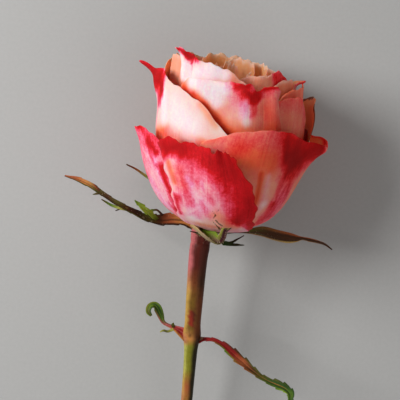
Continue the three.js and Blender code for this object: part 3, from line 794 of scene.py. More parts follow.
MIDDLE_PETALS = [
    Petal(
        "petal_middle_left", -66, scaled(MIDDLE, 1.03, 1), [7, 16, 22, 24, 22], [7, 17, 25, 28, 27],
        [0.75, 0.82, 0.95, 0.985, 0.935, 0.94, 0.905, 0.883, 0.868, 0.84, 0.808, 0.745, 0.68], tuck=1,
        rolls=[(128, 21, 6)], wave=(0.5, 1.8, 0.5), pleats=[(-0.2, 0.05, 0.13, -0.5, 0.7)],
        pulls=[(-0.53, 1, 5.5, (-4.2, -1.0, -1.1)), (-0.33, 0.93, 5, (-2.2, -1.0, 0))], ragged=0.5,
        seed=0.6, grid=(110, 90),
        marks={
            "blush_all": 0.03,
            "blush": [
                (-0.58, 1, -0.44, 0.95, 3.6, 1.0), (-0.44, 0.96, -0.3, 0.93, 3.2, 1.0),
                (-0.26, 0.99, -0.16, 0.9, 3.2, 1.1), (-0.06, 1.0, -0.07, 0.89, 2.1, 1.0),
                (-0.12, 0.88, -0.15, 0.8, 1.9, 0.8), (-0.17, 0.78, -0.17, 0.68, 1.5, 0.25),
            ],
            "bleach_all": 0.2,
            "bleach": [
                (0.05, 0.9, 0.1, 0.8, 3, 0.7), (0.3, 0.9, 0.55, 0.84, 5, 0.5),
                (0.3, 0.8, 0.5, 0.82, 5, 0.4),
            ],
            "gold_all": 0.05,
            "gold": [
                # painted warm shade and glow: the six strokes on these three lines lay the band and the lower
                # part that sink into the recess behind the front petals
                (-0.08, 0.66, 0.24, 0.735, 3.0, 0.85), (0.24, 0.735, 0.48, 0.755, 3.0, 0.85),
                (0.48, 0.755, 0.64, 0.765, 2.6, 0.8), (0.64, 0.755, 0.76, 0.785, 2.4, 0.75),
                (0.76, 0.785, 0.86, 0.83, 2.2, 0.6), (0.0, 0.5, 0.8, 0.55, 12, 1.0),
                (0.64, 0.99, 0.85, 0.98, 1.5, 0.35), (-0.2, 0.96, -0.12, 0.88, 2, 0.5),
            ],
        },
    ),
    Petal(
        "petal_middle_front", 4, scaled(MIDDLE, 0.95, 1), [6, 14, 21, 24, 22], [6, 14, 16, 14, 11],
        [0.84, 0.905, 0.92, 0.92, 0.925, 0.92, 0.925, 0.893, 0.915, 0.93, 0.9], tuck=0,
        rolls=[(80, 20, 4)], wave=(0.6, 2.6, 0.5), pleats=[(0.42, -0.1, 0.16, 0.45, 0.5)], ragged=0.6,
        seed=1.9, grid=(96, 84),
        marks={
            "blush_all": 0.06,
            "blush": [
                (-0.04, 1.0, 0.2, 1.0, 2.0, 1.1), (0.08, 0.975, 0.26, 0.95, 2.2, 1.05),
                (0.3, 0.96, 0.4, 0.94, 1.5, 0.9), (0.46, 0.99, 0.5, 0.95, 1.9, 1.1),
                (0.5, 1.0, 0.78, 0.99, 2.0, 1.0), (0.6, 0.96, 0.72, 0.94, 2.2, 0.35),
                (-0.1, 0.95, 0.1, 0.9, 4, 0.2), (0.42, 0.93, 0.34, 0.86, 1.5, 0.4),
                (0.5, 0.92, 0.9, 0.8, 6, 0.14),
            ],
            "bleach": [
                (-0.66, 0.985, -0.25, 0.965, 3.6, 0.9), (-0.42, 0.93, -0.3, 0.89, 2.8, 0.8),
                (0.1, 0.89, 0.16, 0.8, 2.2, 0.65), (-0.1, 0.9, 0.0, 0.84, 3, 0.3),
            ],
            "gold_all": 0.32,
            "gold": [
                # painted warm shade and glow: the first four strokes follow the left margin in the slit
                # behind the left petal's rim, the fifth the lower part behind the front petal
                (-0.84, 0.965, -0.63, 0.91, 1.8, 0.9), (-0.63, 0.91, -0.46, 0.855, 2.1, 0.9),
                (-0.46, 0.855, -0.3, 0.78, 2.6, 0.95), (-0.3, 0.78, -0.1, 0.7, 3.4, 1.0),
                (-0.2, 0.7, 0.9, 0.7, 5.5, 0.8), (0.6, 0.88, 0.8, 0.8, 5, 0.5),
            ],
        },
    ),
    Petal(
        "petal_middle_right", 52, scaled(MIDDLE, 0.93, 0.97, 1.0), [5, 12, 17, 18, 16],
        [4, 9, 11, 11, 10], [0.7, 0.82, 0.87, 0.89, 0.89, 0.86, 0.78], tuck=2.0, rolls=[(60, 24, 5)],
        wave=(0.5, 1.8, 0.5), seed=2.2,
        marks={
            "blush_all": 0.12,
            "blush_rim": (0.2, [0, 0, 2, 4, 6, 7, 6]),
            # painted warm shade: this petal is turned from the lamp, and its left margin lies in shadow
            # beside the middle front petal
            "gold_all": 0.58,
            "gold": [(-0.98, 0.96, -0.9, 0.75, 3.5, 0.6), (-0.4, 0.7, 0.6, 0.7, 6, 0.4)],
        },
    ),
    Petal(
        "petal_middle_far_right", 68, scaled(MIDDLE, 0.88, 1, 0.5), [5, 12, 14, 14, 12], [4, 8, 9, 9, 11],
        [0.8, 0.86, 0.89, 0.9, 0.91, 0.92, 0.9], tuck=1.5, rolls=[(60, 24, 5)], wave=(0.5, 1.8, 0.5),
        seed=3.1,
        marks={
            "blush_all": 0.1,
            "blush_rim": (0.7, [0, 0, 0, 0, 0, 2, 3]),
            "gold_all": 0.6,
        },
    ),
    Petal(
        "petal_middle_back_right", 112, scaled(MIDDLE, 1.05, 0.9, 2.4), 22, 22,
        [0.68, 0.86, 0.93, 0.93, 0.88, 0.76, 0.6], rolls=[(90, 18, 6)], wave=(0.8, 1.8, 0.5), seed=4.7,
        marks={
            "gold_all": 0.6,
            "bruise_all": 0.12,
            "bruise_rim": (0.8, [0.8, 1.2, 0.9, 0.7, 1.1, 0.6]),
        },
    ),
    Petal(
        "petal_middle_back", 190, scaled(MIDDLE, 1, 0.98, 1), 24, 24,
        [0.7, 0.85, 0.92, 0.93, 0.92, 0.85, 0.7], rolls=[(90, 22, 6)], wave=(0.8, 1.8, 1.5), seed=5.3,
        marks={
            "blush_rim": (0.8, [3, 5, 7, 5, 3]),
            "gold_all": 0.5,
        },
    ),
    Petal(
        "petal_middle_back_left", 244, scaled(MIDDLE, 0.95, 1.03), 22, 20,
        [0.7, 0.88, 0.95, 0.97, 0.965, 0.88, 0.7], rolls=[(90, 27, 6)], wave=(0.8, 1.8, 3.5), seed=6.1,
        marks={"gold_all": 0.4},
    ),
]

# %% [markdown]
# ## Seven inner petals
#
# Inside stand narrower petals with only their tops in view, peach against the gold of their inner faces.

# %% Inner petals
INNER_PETALS = [
    Petal(
        "petal_inner_far_left", -84, scaled(MIDDLE, 0.89, 1.02, 0.2), 8.5, 11,
        [0.86, 0.91, 0.94, 0.985, 0.985, 0.95, 0.85], tuck=-0.6, wave=(0.5, 2, 1.5),
        pleats=[(-0.3, 0.1, 0.2, -0.6, 0.6)],
        pulls=[(0.75, 0.95, 9, (1.6, 0.8, 0)), (0.8, 0.6, 9, (1.2, 0.6, 0)), (-0.6, 1, 7, (-1.2, 0, 0))],
        seed=5.2,
        marks={
            "bleach_rim": (0.3, [1, 1.5, 2, 1.5, 1]),
            "gold_all": 0.42,
            "gold": [(-0.8, 0.82, 0.6, 0.84, 5, 0.35)],
        },
    ),
    Petal(
        "petal_inner_left", -44, scaled(MIDDLE, 0.8, 1.08, 0.5), [5, 10, 12.5, 9.5, 7.8],
        [5, 12, 18, 20, 18], [0.985, 0.985, 0.955, 0.94, 0.925, 0.9, 0.84], tuck=0.6,
        rolls=[(118, 22, 5)], wave=(0.5, 2, 0.5),
        pleats=[(-0.55, 0.2, 0.12, 0.9, 0.6), (0.1, 0.1, 0.1, 0.7, 0.7)], ragged=0.8, seed=0.9,
        grid=(80, 72),
        marks={
            "blush_all": 0.05,
            "blush": [
                (-0.95, 1, -0.56, 0.995, 1.5, 1.0), (-0.56, 0.99, -0.42, 0.97, 1.3, 1.0),
                (-0.4, 0.985, -0.2, 0.985, 1.7, 1.0), (-0.2, 0.99, 0.08, 1.0, 1.6, 1.0),
                (-0.32, 0.97, -0.28, 0.94, 1.0, 0.7), (-0.28, 0.94, -0.24, 0.91, 0.7, 0.3),
            ],
            "bleach": [
                (-0.9, 0.95, -0.6, 0.86, 2.0, 1), (-0.5, 0.93, -0.3, 0.86, 1.6, 1),
                (0.0, 0.92, 0.28, 0.95, 4, 0.8), (0.38, 0.98, 0.55, 0.97, 3.4, 0.8),
            ],
            "gold_all": 0.1,
            "gold": [
                (0.58, 0.95, 0.9, 0.9, 4, 0.55), (-0.2, 0.84, 0.3, 0.88, 2.4, 0.4),
                (-0.6, 0.8, 0.8, 0.78, 6, 0.6),
            ],
        },
    ),
    Petal(
        "petal_inner_right", 30, scaled(MIDDLE, 0.68, 1, 0.5), 12, 12,
        [0.86, 0.93, 0.95, 0.955, 0.97, 0.98, 0.92], tuck=0.6, rolls=[(60, 26, 5)], wave=(0.5, 2, 1.5),
        seed=1.6,
        marks={
            "blush": [(0.56, 0.99, 0.68, 0.93, 2.6, 0.8)],
            "bleach_rim": (0.35, [2, 2, 1.5, 1, 0]),
            "gold_all": 0.48,
        },
    ),
    Petal(
        "petal_inner_far_right", 74, scaled(MIDDLE, 0.76, 1, 0.5), 14, 14,
        [0.86, 0.92, 0.94, 0.935, 0.93, 0.9, 0.82], tuck=0.6, rolls=[(90, 26, 5)], wave=(0.5, 2, 2.5),
        seed=2.5,
        marks={
            "bleach_rim": (0.4, [1, 1.5, 1.5, 1]),
            "gold_all": 0.6,
        },
    ),
    Petal(
        "petal_inner_back_right", 112, scaled(MIDDLE, 0.84, 1, 0.5), 15, 15,
        [0.8, 0.84, 0.86, 0.97, 0.86, 0.84, 0.8], tuck=0.6, rolls=[(90, 26, 5)], wave=(0.5, 2, 1.5),
        pulls=[(0, 1, 3, (3.8, 0, -2.6))], seed=3.3,
        marks={
            "blush": [(0.0, 1, -0.08, 0.95, 2.4, 0.95)],
            "bleach_rim": (0.4, [1, 1.5, 0, 1.5, 1]),
            "gold_all": 0.5,
        },
    ),
    Petal(
        "petal_inner_back", 164, scaled(MIDDLE, 0.84, 1.02, 0.5), 17, 17,
        [0.85, 0.92, 0.95, 0.96, 0.95, 0.92, 0.8], tuck=0.6, rolls=[(90, 25, 5)], wave=(0.5, 2, 1.5),
        seed=4.1,
        marks={
            "bleach_rim": (0.5, [1, 1.5, 2, 1.5, 1]),
            "gold_all": 0.55,
        },
    ),
    Petal(
        "petal_inner_back_left", 236, scaled(MIDDLE, 0.8, 1.04, 0.5), 17, 17,
        [0.85, 0.92, 0.95, 0.97, 0.94, 0.92, 0.8], tuck=0.6, rolls=[(90, 25, 5)], wave=(0.5, 2, 2.5),
        seed=5.0,
        marks={
            "bleach_rim": (0.4, [1, 1.5, 2, 1.5, 1]),
            "gold_all": 0.55,
        },
    ),
]

# %% Make the single petals
bloom_pieces = []
for number, petal in enumerate(OUTER_PETALS + MIDDLE_PETALS + INNER_PETALS):
    bloom_pieces.append(petal_piece(petal, number, PETAL_SKIN))
print("petals:", len(bloom_pieces), "faces:", sum(len(piece.data.polygons) for piece in bloom_pieces))

# %% [markdown]
# ## The heart, spiralled by Geometry Nodes
#
# Petals of the heart follow a rule: each stands the golden angle round from the last and is a little
# narrower, and those towards the right end lower, as in the photograph. That is a job for instances. One
# petal is made, a row of points carries one copy each, and the copy's number sets its turn and its size.
# Noise then makes the copies differ.

# %% A geometry tree with named inputs
def geometry_tree(name, inputs):
    """A Geometry Nodes tree with a geometry input and output and the named inputs with their start values."""
    group = bpy.data.node_groups.new(name, "GeometryNodeTree")
    group.interface.new_socket("Geometry", in_out="INPUT", socket_type="NodeSocketGeometry")
    group.interface.new_socket("Geometry", in_out="OUTPUT", socket_type="NodeSocketGeometry")
    for key, (kind, value) in inputs.items():
        made = group.interface.new_socket(key, in_out="INPUT", socket_type="NodeSocket" + kind)
        if value is not None:
            made.default_value = value
    tree = Tree(group)
    entry = group.nodes.new("NodeGroupInput")
    given = {key: Value(tree, entry.outputs[key]) for key in ["Geometry", *inputs]}
    return group, tree, given


def end_tree(group, geometry):
    """Leads the geometry to the tree's output."""
    out = group.nodes.new("NodeGroupOutput")
    group.links.new(geometry.socket, out.inputs["Geometry"])


def grown(source, group, name, values):
    """The evaluated result of a geometry tree on source, as a plain mesh piece of its own."""
    modifier = source.modifiers.new("grow", "NODES")
    modifier.node_group = group
    sockets = {item.name: item.identifier for item in group.interface.items_tree if item.in_out == "INPUT"}
    for key, value in values.items():
        modifier[sockets[key]] = value
    seen = source.evaluated_get(bpy.context.evaluated_depsgraph_get())
    data = bpy.data.meshes.new_from_object(seen)
    data.name = name
    source.modifiers.remove(modifier)
    return placed(name, data)


# %% Spiral of heart petals
HEART = 12  # petals that spiral into the middle
HEART_NUMBER = 30  # its petal's place in the UV map, past those of the single petals
GOLDEN_ANGLE = math.radians(137.5)
HEART_START = math.radians(-68)  # where the first of them stands


def spiral_tree():
    """Copies of one petal round the axis, each turned on by an angle and narrowed towards the last."""
    group, tree, given = geometry_tree(
        "spiral_of_petals",
        {
            "Petal": ("Object", None),
            "Count": ("Int", HEART),
            "Turn": ("Float", GOLDEN_ANGLE),
            "Start": ("Float", HEART_START),
            "Widest": ("Float", 0.62),
            "Narrowest": ("Float", 0.1),
            "Slope": ("Float", 0.06),
            "Crumple": ("Float", 0.0008),
            "Skin": ("Material", None),
        },
    )
    points = tree.node("GeometryNodeMeshLine", {}, {"Count": given["Count"], "Offset": (0, 0, 0)})
    index = tree.node("GeometryNodeInputIndex")
    share = index.math("DIVIDE", index, given["Count"] - 1)
    angle = given["Start"] + given["Turn"] * index
    turn = tree.node("ShaderNodeCombineXYZ", {}, {"Z": angle})
    width = given["Widest"] + (given["Narrowest"] - given["Widest"]) * share
    rightward = tree.node("ShaderNodeMath", {"operation": "COSINE"}, {0: angle})
    height = 1.0 - 0.03 * share - given["Slope"] * rightward
    size = tree.node("ShaderNodeCombineXYZ", {}, {"X": width, "Y": width, "Z": height})
    petal = tree.node("GeometryNodeObjectInfo", {}, {"Object": given["Petal"]}, out=4)
    turned = tree.node("FunctionNodeEulerToRotation", {}, {"Euler": turn})
    sockets = {"Points": points, "Instance": petal, "Rotation": turned, "Scale": size}
    copies = tree.node("GeometryNodeInstanceOnPoints", {}, sockets)
    real = tree.node("GeometryNodeRealizeInstances", {}, {"Geometry": copies})
    bumps = tree.node("ShaderNodeTexNoise", {}, {"Scale": 140.0, "Detail": 2.0}, out=1)
    centred = tree.node("ShaderNodeVectorMath", {"operation": "SUBTRACT"}, {0: bumps, 1: (0.5, 0.5, 0.5)})
    push = {0: centred, "Scale": given["Crumple"]}
    pushed = tree.node("ShaderNodeVectorMath", {"operation": "SCALE"}, push)
    moved = tree.node("GeometryNodeSetPosition", {}, {"Geometry": real, "Offset": pushed})
    end_tree(group, tree.node("GeometryNodeSetMaterial", {}, {"Geometry": moved, "Material": given["Skin"]}))
    return group


template = Petal(
    "heart_petal", 0, scaled(MIDDLE, 1, 1), 26, 26,
    [0.87, 0.95, 0.955, 0.975, 0.965, 0.98, 0.968, 0.972, 0.952, 0.95, 0.86],
    tuck=1.5, rolls=[(90, 25.5, 5)], wave=(1.0, 2, 0), seed=1.1, grid=(40, 40), upright=True,
    marks={
        "bleach_rim": (0.4, [1, 2, 1.5, 2, 1]),
        # partly the heart's own peach and partly painted warm shade in its depths
        "gold_all": 0.62,
    },
)
heart_petal = petal_piece(template, HEART_NUMBER, PETAL_SKIN)
heart_source = new_mesh("heart_source", [(0, 0, 0)], [])
heart = grown(heart_source, spiral_tree(), "petals_heart", {"Petal": heart_petal, "Skin": PETAL_SKIN})
heart.data.transform(LAID)
bloom_pieces.append(heart)
for used in (heart_petal, heart_source):
    bpy.data.objects.remove(used)
print("heart petals:", HEART, "faces:", len(heart.data.polygons))

# %% [markdown]
# ## Round bodies from rings
#
# Under the petals a small cup of flesh holds their roots, and below it the hip swells under the flower. Both
# are turned shapes. Rings of points on a smooth profile make them, closed by a point at each end. The cup
# can only be glimpsed in the depths between petals, so it is painted as they are there: pale at the foot
# and golden further up.

# %% Round bodies
def round_body(rings):
    """A closed body round rings of points, given as an array of rings by sides by 3."""
    count, sides = rings.shape[:2]
    ids = np.arange(count * sides).reshape(count, sides)
    after = np.roll(ids, -1, axis=1)
    walls = np.stack([ids[:-1], after[:-1], after[1:], ids[1:]], -1).reshape(-1, 4)
    low, high = count * sides, count * sides + 1
    ends = [(low, after[0, k], ids[0, k]) for k in range(sides)]
    ends += [(high, ids[-1, k], after[-1, k]) for k in range(sides)]
    points = np.concatenate([rings.reshape(-1, 3), rings[0].mean(0)[None], rings[-1].mean(0)[None]])
    return points, [tuple(f) for f in walls] + ends


def turned_rings(profile, count, sides, ribs=0, depth=0.0):
    """Rings of a turned body from a list of (radius, height, shift along X), with shallow ribs."""
    path = spline(profile)[0][np.linspace(0, STEPS, count).astype(int)]
    angle = np.linspace(0, 2 * np.pi, sides, endpoint=False)
    radius = path[:, :1] * (1 + depth * np.cos(ribs * angle)[None])
    x = path[:, 2:] + radius * np.cos(angle)
    y = radius * np.sin(angle)
    return np.stack([x, y, np.broadcast_to(path[:, 1:2], x.shape)], -1)


# %% The cup that holds the petals
CORE = [  # radius, height and sideways shift
    (3, 0.2, -5.2), (7, 1.4, -2.4), (11, 3.2, -0.6), (14.5, 6.4, -0.6), (17, 10, -0.7), (16, 14, 0),
    (12, 28, 0), (8, 38, 0),
]
CORE_RINGS = 24
CORE_SIDES = 48
CORE_RISE = 0.7 * FOOT_RISE  # mm, less than the petals rise
UV_LENGTH = 40  # mm that one unit of the UV map covers on the cup and along the stem


def make_core():
    """The cup under the petals, lifted beside the foot as they are."""
    points, faces = round_body(turned_rings(CORE, CORE_RINGS, CORE_SIDES))
    rise = smooth((FOOT - points[:, 0]) / 4) * (1 - smooth((points[:, 2] - 1) / 4))
    points[:, 2] += CORE_RISE * rise
    fields = {key: np.zeros(len(points)) for key in (*FIELDS, "inside")}
    fields["gold"] = 0.15 + 0.65 * smooth((points[:, 2] - 8) / 10)
    return new_mesh("petal_core", lay(points), faces, fields, points[:, [0, 2]] / UV_LENGTH, PETAL_SKIN)


core = make_core()
bloom_pieces.append(core)
print("core faces:", len(core.data.polygons))

# %% Ride and replace the bloom
for piece in bloom_pieces:
    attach(piece, "root")
    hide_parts("bloom")

# %% [markdown]
# ## Skins of the green parts
#
# Sepals, stem and leaves run from bright green through orange to a red so dark that it looks black. The
# change follows the growth, so each vertex is given its tint by its place along the piece. One material
# for each kind of part reads that tint and only adds grain, lines along the piece and a gloss of its own.
# On the stem and the hip the tint also changes across: painted light on the left, painted shade on the right.

# %% Green and red skins
BLACK_BROWN = (0.03, 0.012, 0.006)
BROWN = (0.07, 0.026, 0.010)
PURPLE = (0.055, 0.014, 0.02)
RUST = (0.36, 0.10, 0.035)
AMBER = (0.52, 0.22, 0.06)
OLIVE = (0.085, 0.085, 0.014)
GREEN = (0.10, 0.19, 0.022)
LIME = (0.27, 0.42, 0.04)
FERN = (0.17, 0.27, 0.015)
DARK_GREEN = (0.035, 0.085, 0.018)
DOWN = (0.34, 0.25, 0.15)  # where pale hairs cover the green
ROSE_RED = (0.50, 0.06, 0.06)
ROSE_PINK = (0.50, 0.13, 0.14)
TAN = (0.56, 0.38, 0.12)
MAROON = (0.085, 0.012, 0.008)
SALMON = (0.46, 0.19, 0.09)
STRAW = (0.50, 0.31, 0.07)
BRONZE = (0.16, 0.045, 0.014)
UMBER = (0.15, 0.08, 0.012)
MOSS = (0.20, 0.20, 0.018)
NIGHT = (0.024, 0.02, 0.006)
WINE = (0.24, 0.014, 0.014)
BRICK = (0.25, 0.022, 0.014)
DARK_BROWN = (0.055, 0.02, 0.008)
YELLOW_GREEN = (0.42, 0.42, 0.09)
PITH = (0.72, 0.76, 0.52)


def living_skin(name, grain, lines, gloss, depth):
    """A skin with the vertices' tint, grain of that scale, lines along the piece and a relief that deep."""
    material, tree, shader = new_material(
        name,
        Roughness=gloss,
        Specular_IOR_Level=MATT,
        Subsurface_Weight=0.1,
        Subsurface_Radius=(0.6, 0.5, 0.2),
        Subsurface_Scale=0.0008,
    )
    fine = tree.noise(tree.object_place(), grain, 4.0, 0.65)
    ridges = tree.noise(tree.stretched(tree.uv(), lines), 1.0, 3.0, 0.6)
    both = 0.5 * fine + 0.5 * ridges
    shade = tree.ramp(both, [(0.32, (0.55, 0.52, 0.5)), (0.5, (0.9, 0.9, 0.9)), (0.68, (1, 1, 1))])
    colour = tree.mix(1.0, tree.attribute("tint", 0), shade, "MULTIPLY")
    drive(shader, Base_Color=colour, Normal=tree.bump(both, 0.5, depth))
    return material


SEPAL_SKIN = living_skin("sepal_skin", 1500, (26, 2, 1), 0.55, 0.0005)
STEM_SKIN = living_skin("stem_skin", 900, (60, 3, 1), 0.45, 0.0003)
LEAF_SKIN = living_skin("leaf_skin", 1200, (14, 5, 1), 0.42, 0.0004)
print("skins:", SEPAL_SKIN.name, STEM_SKIN.name, LEAF_SKIN.name)

# %% [markdown]
# ## A blade along a path
#
# A sepal or a leaf of this rose is a narrow strap that twists as it goes. Its path is a spline through a few
# places, its width is read along the way, and a direction tells which way its upper face looks. The margins
# curl up, a rib runs down the middle, and teeth cut the edge where the plant has them. Its tints are given
# the same way: a list along each face, and one each for the margins and the rib.

# %% Tints from lists
def opaque(tint):
    """Colours with the alpha of 1 that a colour field needs."""
    return np.concatenate([tint, np.ones((len(tint), 1))], 1)


def banded(at, bands):
    """The colour at each place, read from a list of (place, colour) whose places rise."""
    places, colours = zip(*bands)
    return np.stack([np.interp(at, places, part) for part in zip(*colours)], 1)


def along_list(values, v):
    """Colours or directions read along a list at v from 0 to 1."""
    values = np.array(values, float)
    at = np.clip(v, 0, 1) * (len(values) - 1)
    i = np.minimum(at.astype(int), len(values) - 2)
    f = (at - i)[..., None]
    return values[i] * (1 - f) + values[i + 1] * f


# %% The blade
RIB_DEPTH = 0.12  # how deep the fold over the rib is, and how wide, as shares of the half width
RIB_WIDTH = 0.14


class Blade:
    """One sepal, leaf, lobe or spike: its shape, its tints and how hairy its upper and under faces are."""

    def __init__(self, path, widths, faces, upper, under=None, **more):
        self.path = path
        self.widths = widths
        self.faces = faces
        self.upper = upper
        self.under = under or upper
        self.margins = more.get("margins", (None, None))
        self.rib = more.get("rib")
        self.cup = more.get("cup", 0.3)
        self.teeth = more.get("teeth", (0, 0))
        self.wave = more.get("wave", (0.12, 7, 0.0))
        self.thick = more.get("thick", 0.5)
        self.grid = more.get("grid", (15, 64))
        self.hairs = more.get("hairs", (0.2, 0.2))

    def surface(self, u, v):
        """The blade's middle surface in the rose's frame."""
        places, ahead = rail(self.path, v)
        across = unit(np.cross(ahead, along_list(self.faces, v)))
        out = np.cross(across, ahead)
        teeth, depth = self.teeth
        shift = np.where(u < 0, 0.5, 0.0)[None] + teeth * v[:, None]
        cut = depth * (1 - 2 * (shift % 1)) * np.abs(u)[None] ** 3 if teeth else 0
        wide = ease(self.widths, v)[:, None] * (1 + cut)
        rough, ripples, phase = self.wave
        swing = np.sin(ripples * np.pi * v[:, None] + phase + u[None])
        lift = self.cup * u[None] ** 2 + rough * swing * np.abs(u)[None] ** 3
        lift = lift - RIB_DEPTH * np.exp(-((u[None] / RIB_WIDTH) ** 2))
        sideways = across[:, None] * (u * wide)[..., None]
        return places[:, None] + sideways + out[:, None] * (wide * lift)[..., None]

    def tint(self, u, v, colours):
        """The colours of one face, with those of its margins and its rib laid over them."""
        base = np.broadcast_to(along_list(colours, v)[:, None], (len(v), len(u), 3)).copy()
        shares = [smooth(-u, 0.5, 0.85), smooth(u, 0.5, 0.85), 1 - smooth(np.abs(u), 0.06, 0.22)]
        for share, given in zip(shares, (*self.margins, self.rib)):
            if given is not None:
                given = along_list(given, v)[:, None] if np.ndim(given) > 1 else np.array(given)
                base += share[None, :, None] * (given - base)
        return base

    def arrays(self, number):
        """The blade's closed sheet with its tint, its hairiness and its UV map."""
        columns, rows = self.grid
        u, v = spread(columns, 1.2), np.linspace(0, 1, rows)
        thick = self.thick * (1 - 0.55 * np.abs(u)[None] ** 2) * (1 - 0.5 * v[:, None] ** 3) * MM
        points, faces = closed_sheet(lay(self.surface(u, v)), thick)
        tints = [self.tint(u, v, self.upper), self.tint(u, v, self.under)]
        tint = opaque(np.concatenate([c.reshape(-1, 3) for c in tints]))
        hairy = np.repeat(np.array(self.hairs, float), rows * columns)
        across, up = np.meshgrid(u / 2 + 0.5 + UV_STEP * number, v)
        uv = np.tile(np.stack([across.ravel(), up.ravel()], 1), (2, 1))
        return points, faces, {"tint": tint, "hairy": hairy}, uv


def joined(sets):
    """Several sets of points, faces, fields and UV as one."""
    starts = np.cumsum([0] + [len(s[0]) for s in sets[:-1]])
    points = np.concatenate([s[0] for s in sets])
    faces = [tuple(int(i + start) for i in f) for s, start in zip(sets, starts) for f in s[1]]
    fields = {key: np.concatenate([s[2][key] for s in sets]) for key in sets[0][2]}
    return points, faces, fields, np.concatenate([s[3] for s in sets])


# %% [markdown]
# ## Five sepals
#
# Two of the sepals have side lobes. The left one runs far out, nearly black where it turns under and rusty
# at its tip, with a lime green lobe. The front one is folded over and downy below. The right one is smooth
# and dark with a paler margin, and two more lie behind the flower.

# %% Sepal outlines
TO_VIEWER = [(0, -0.9, 0.4), (0, -0.9, 0.4)]  # the upper face looks at the viewer all along

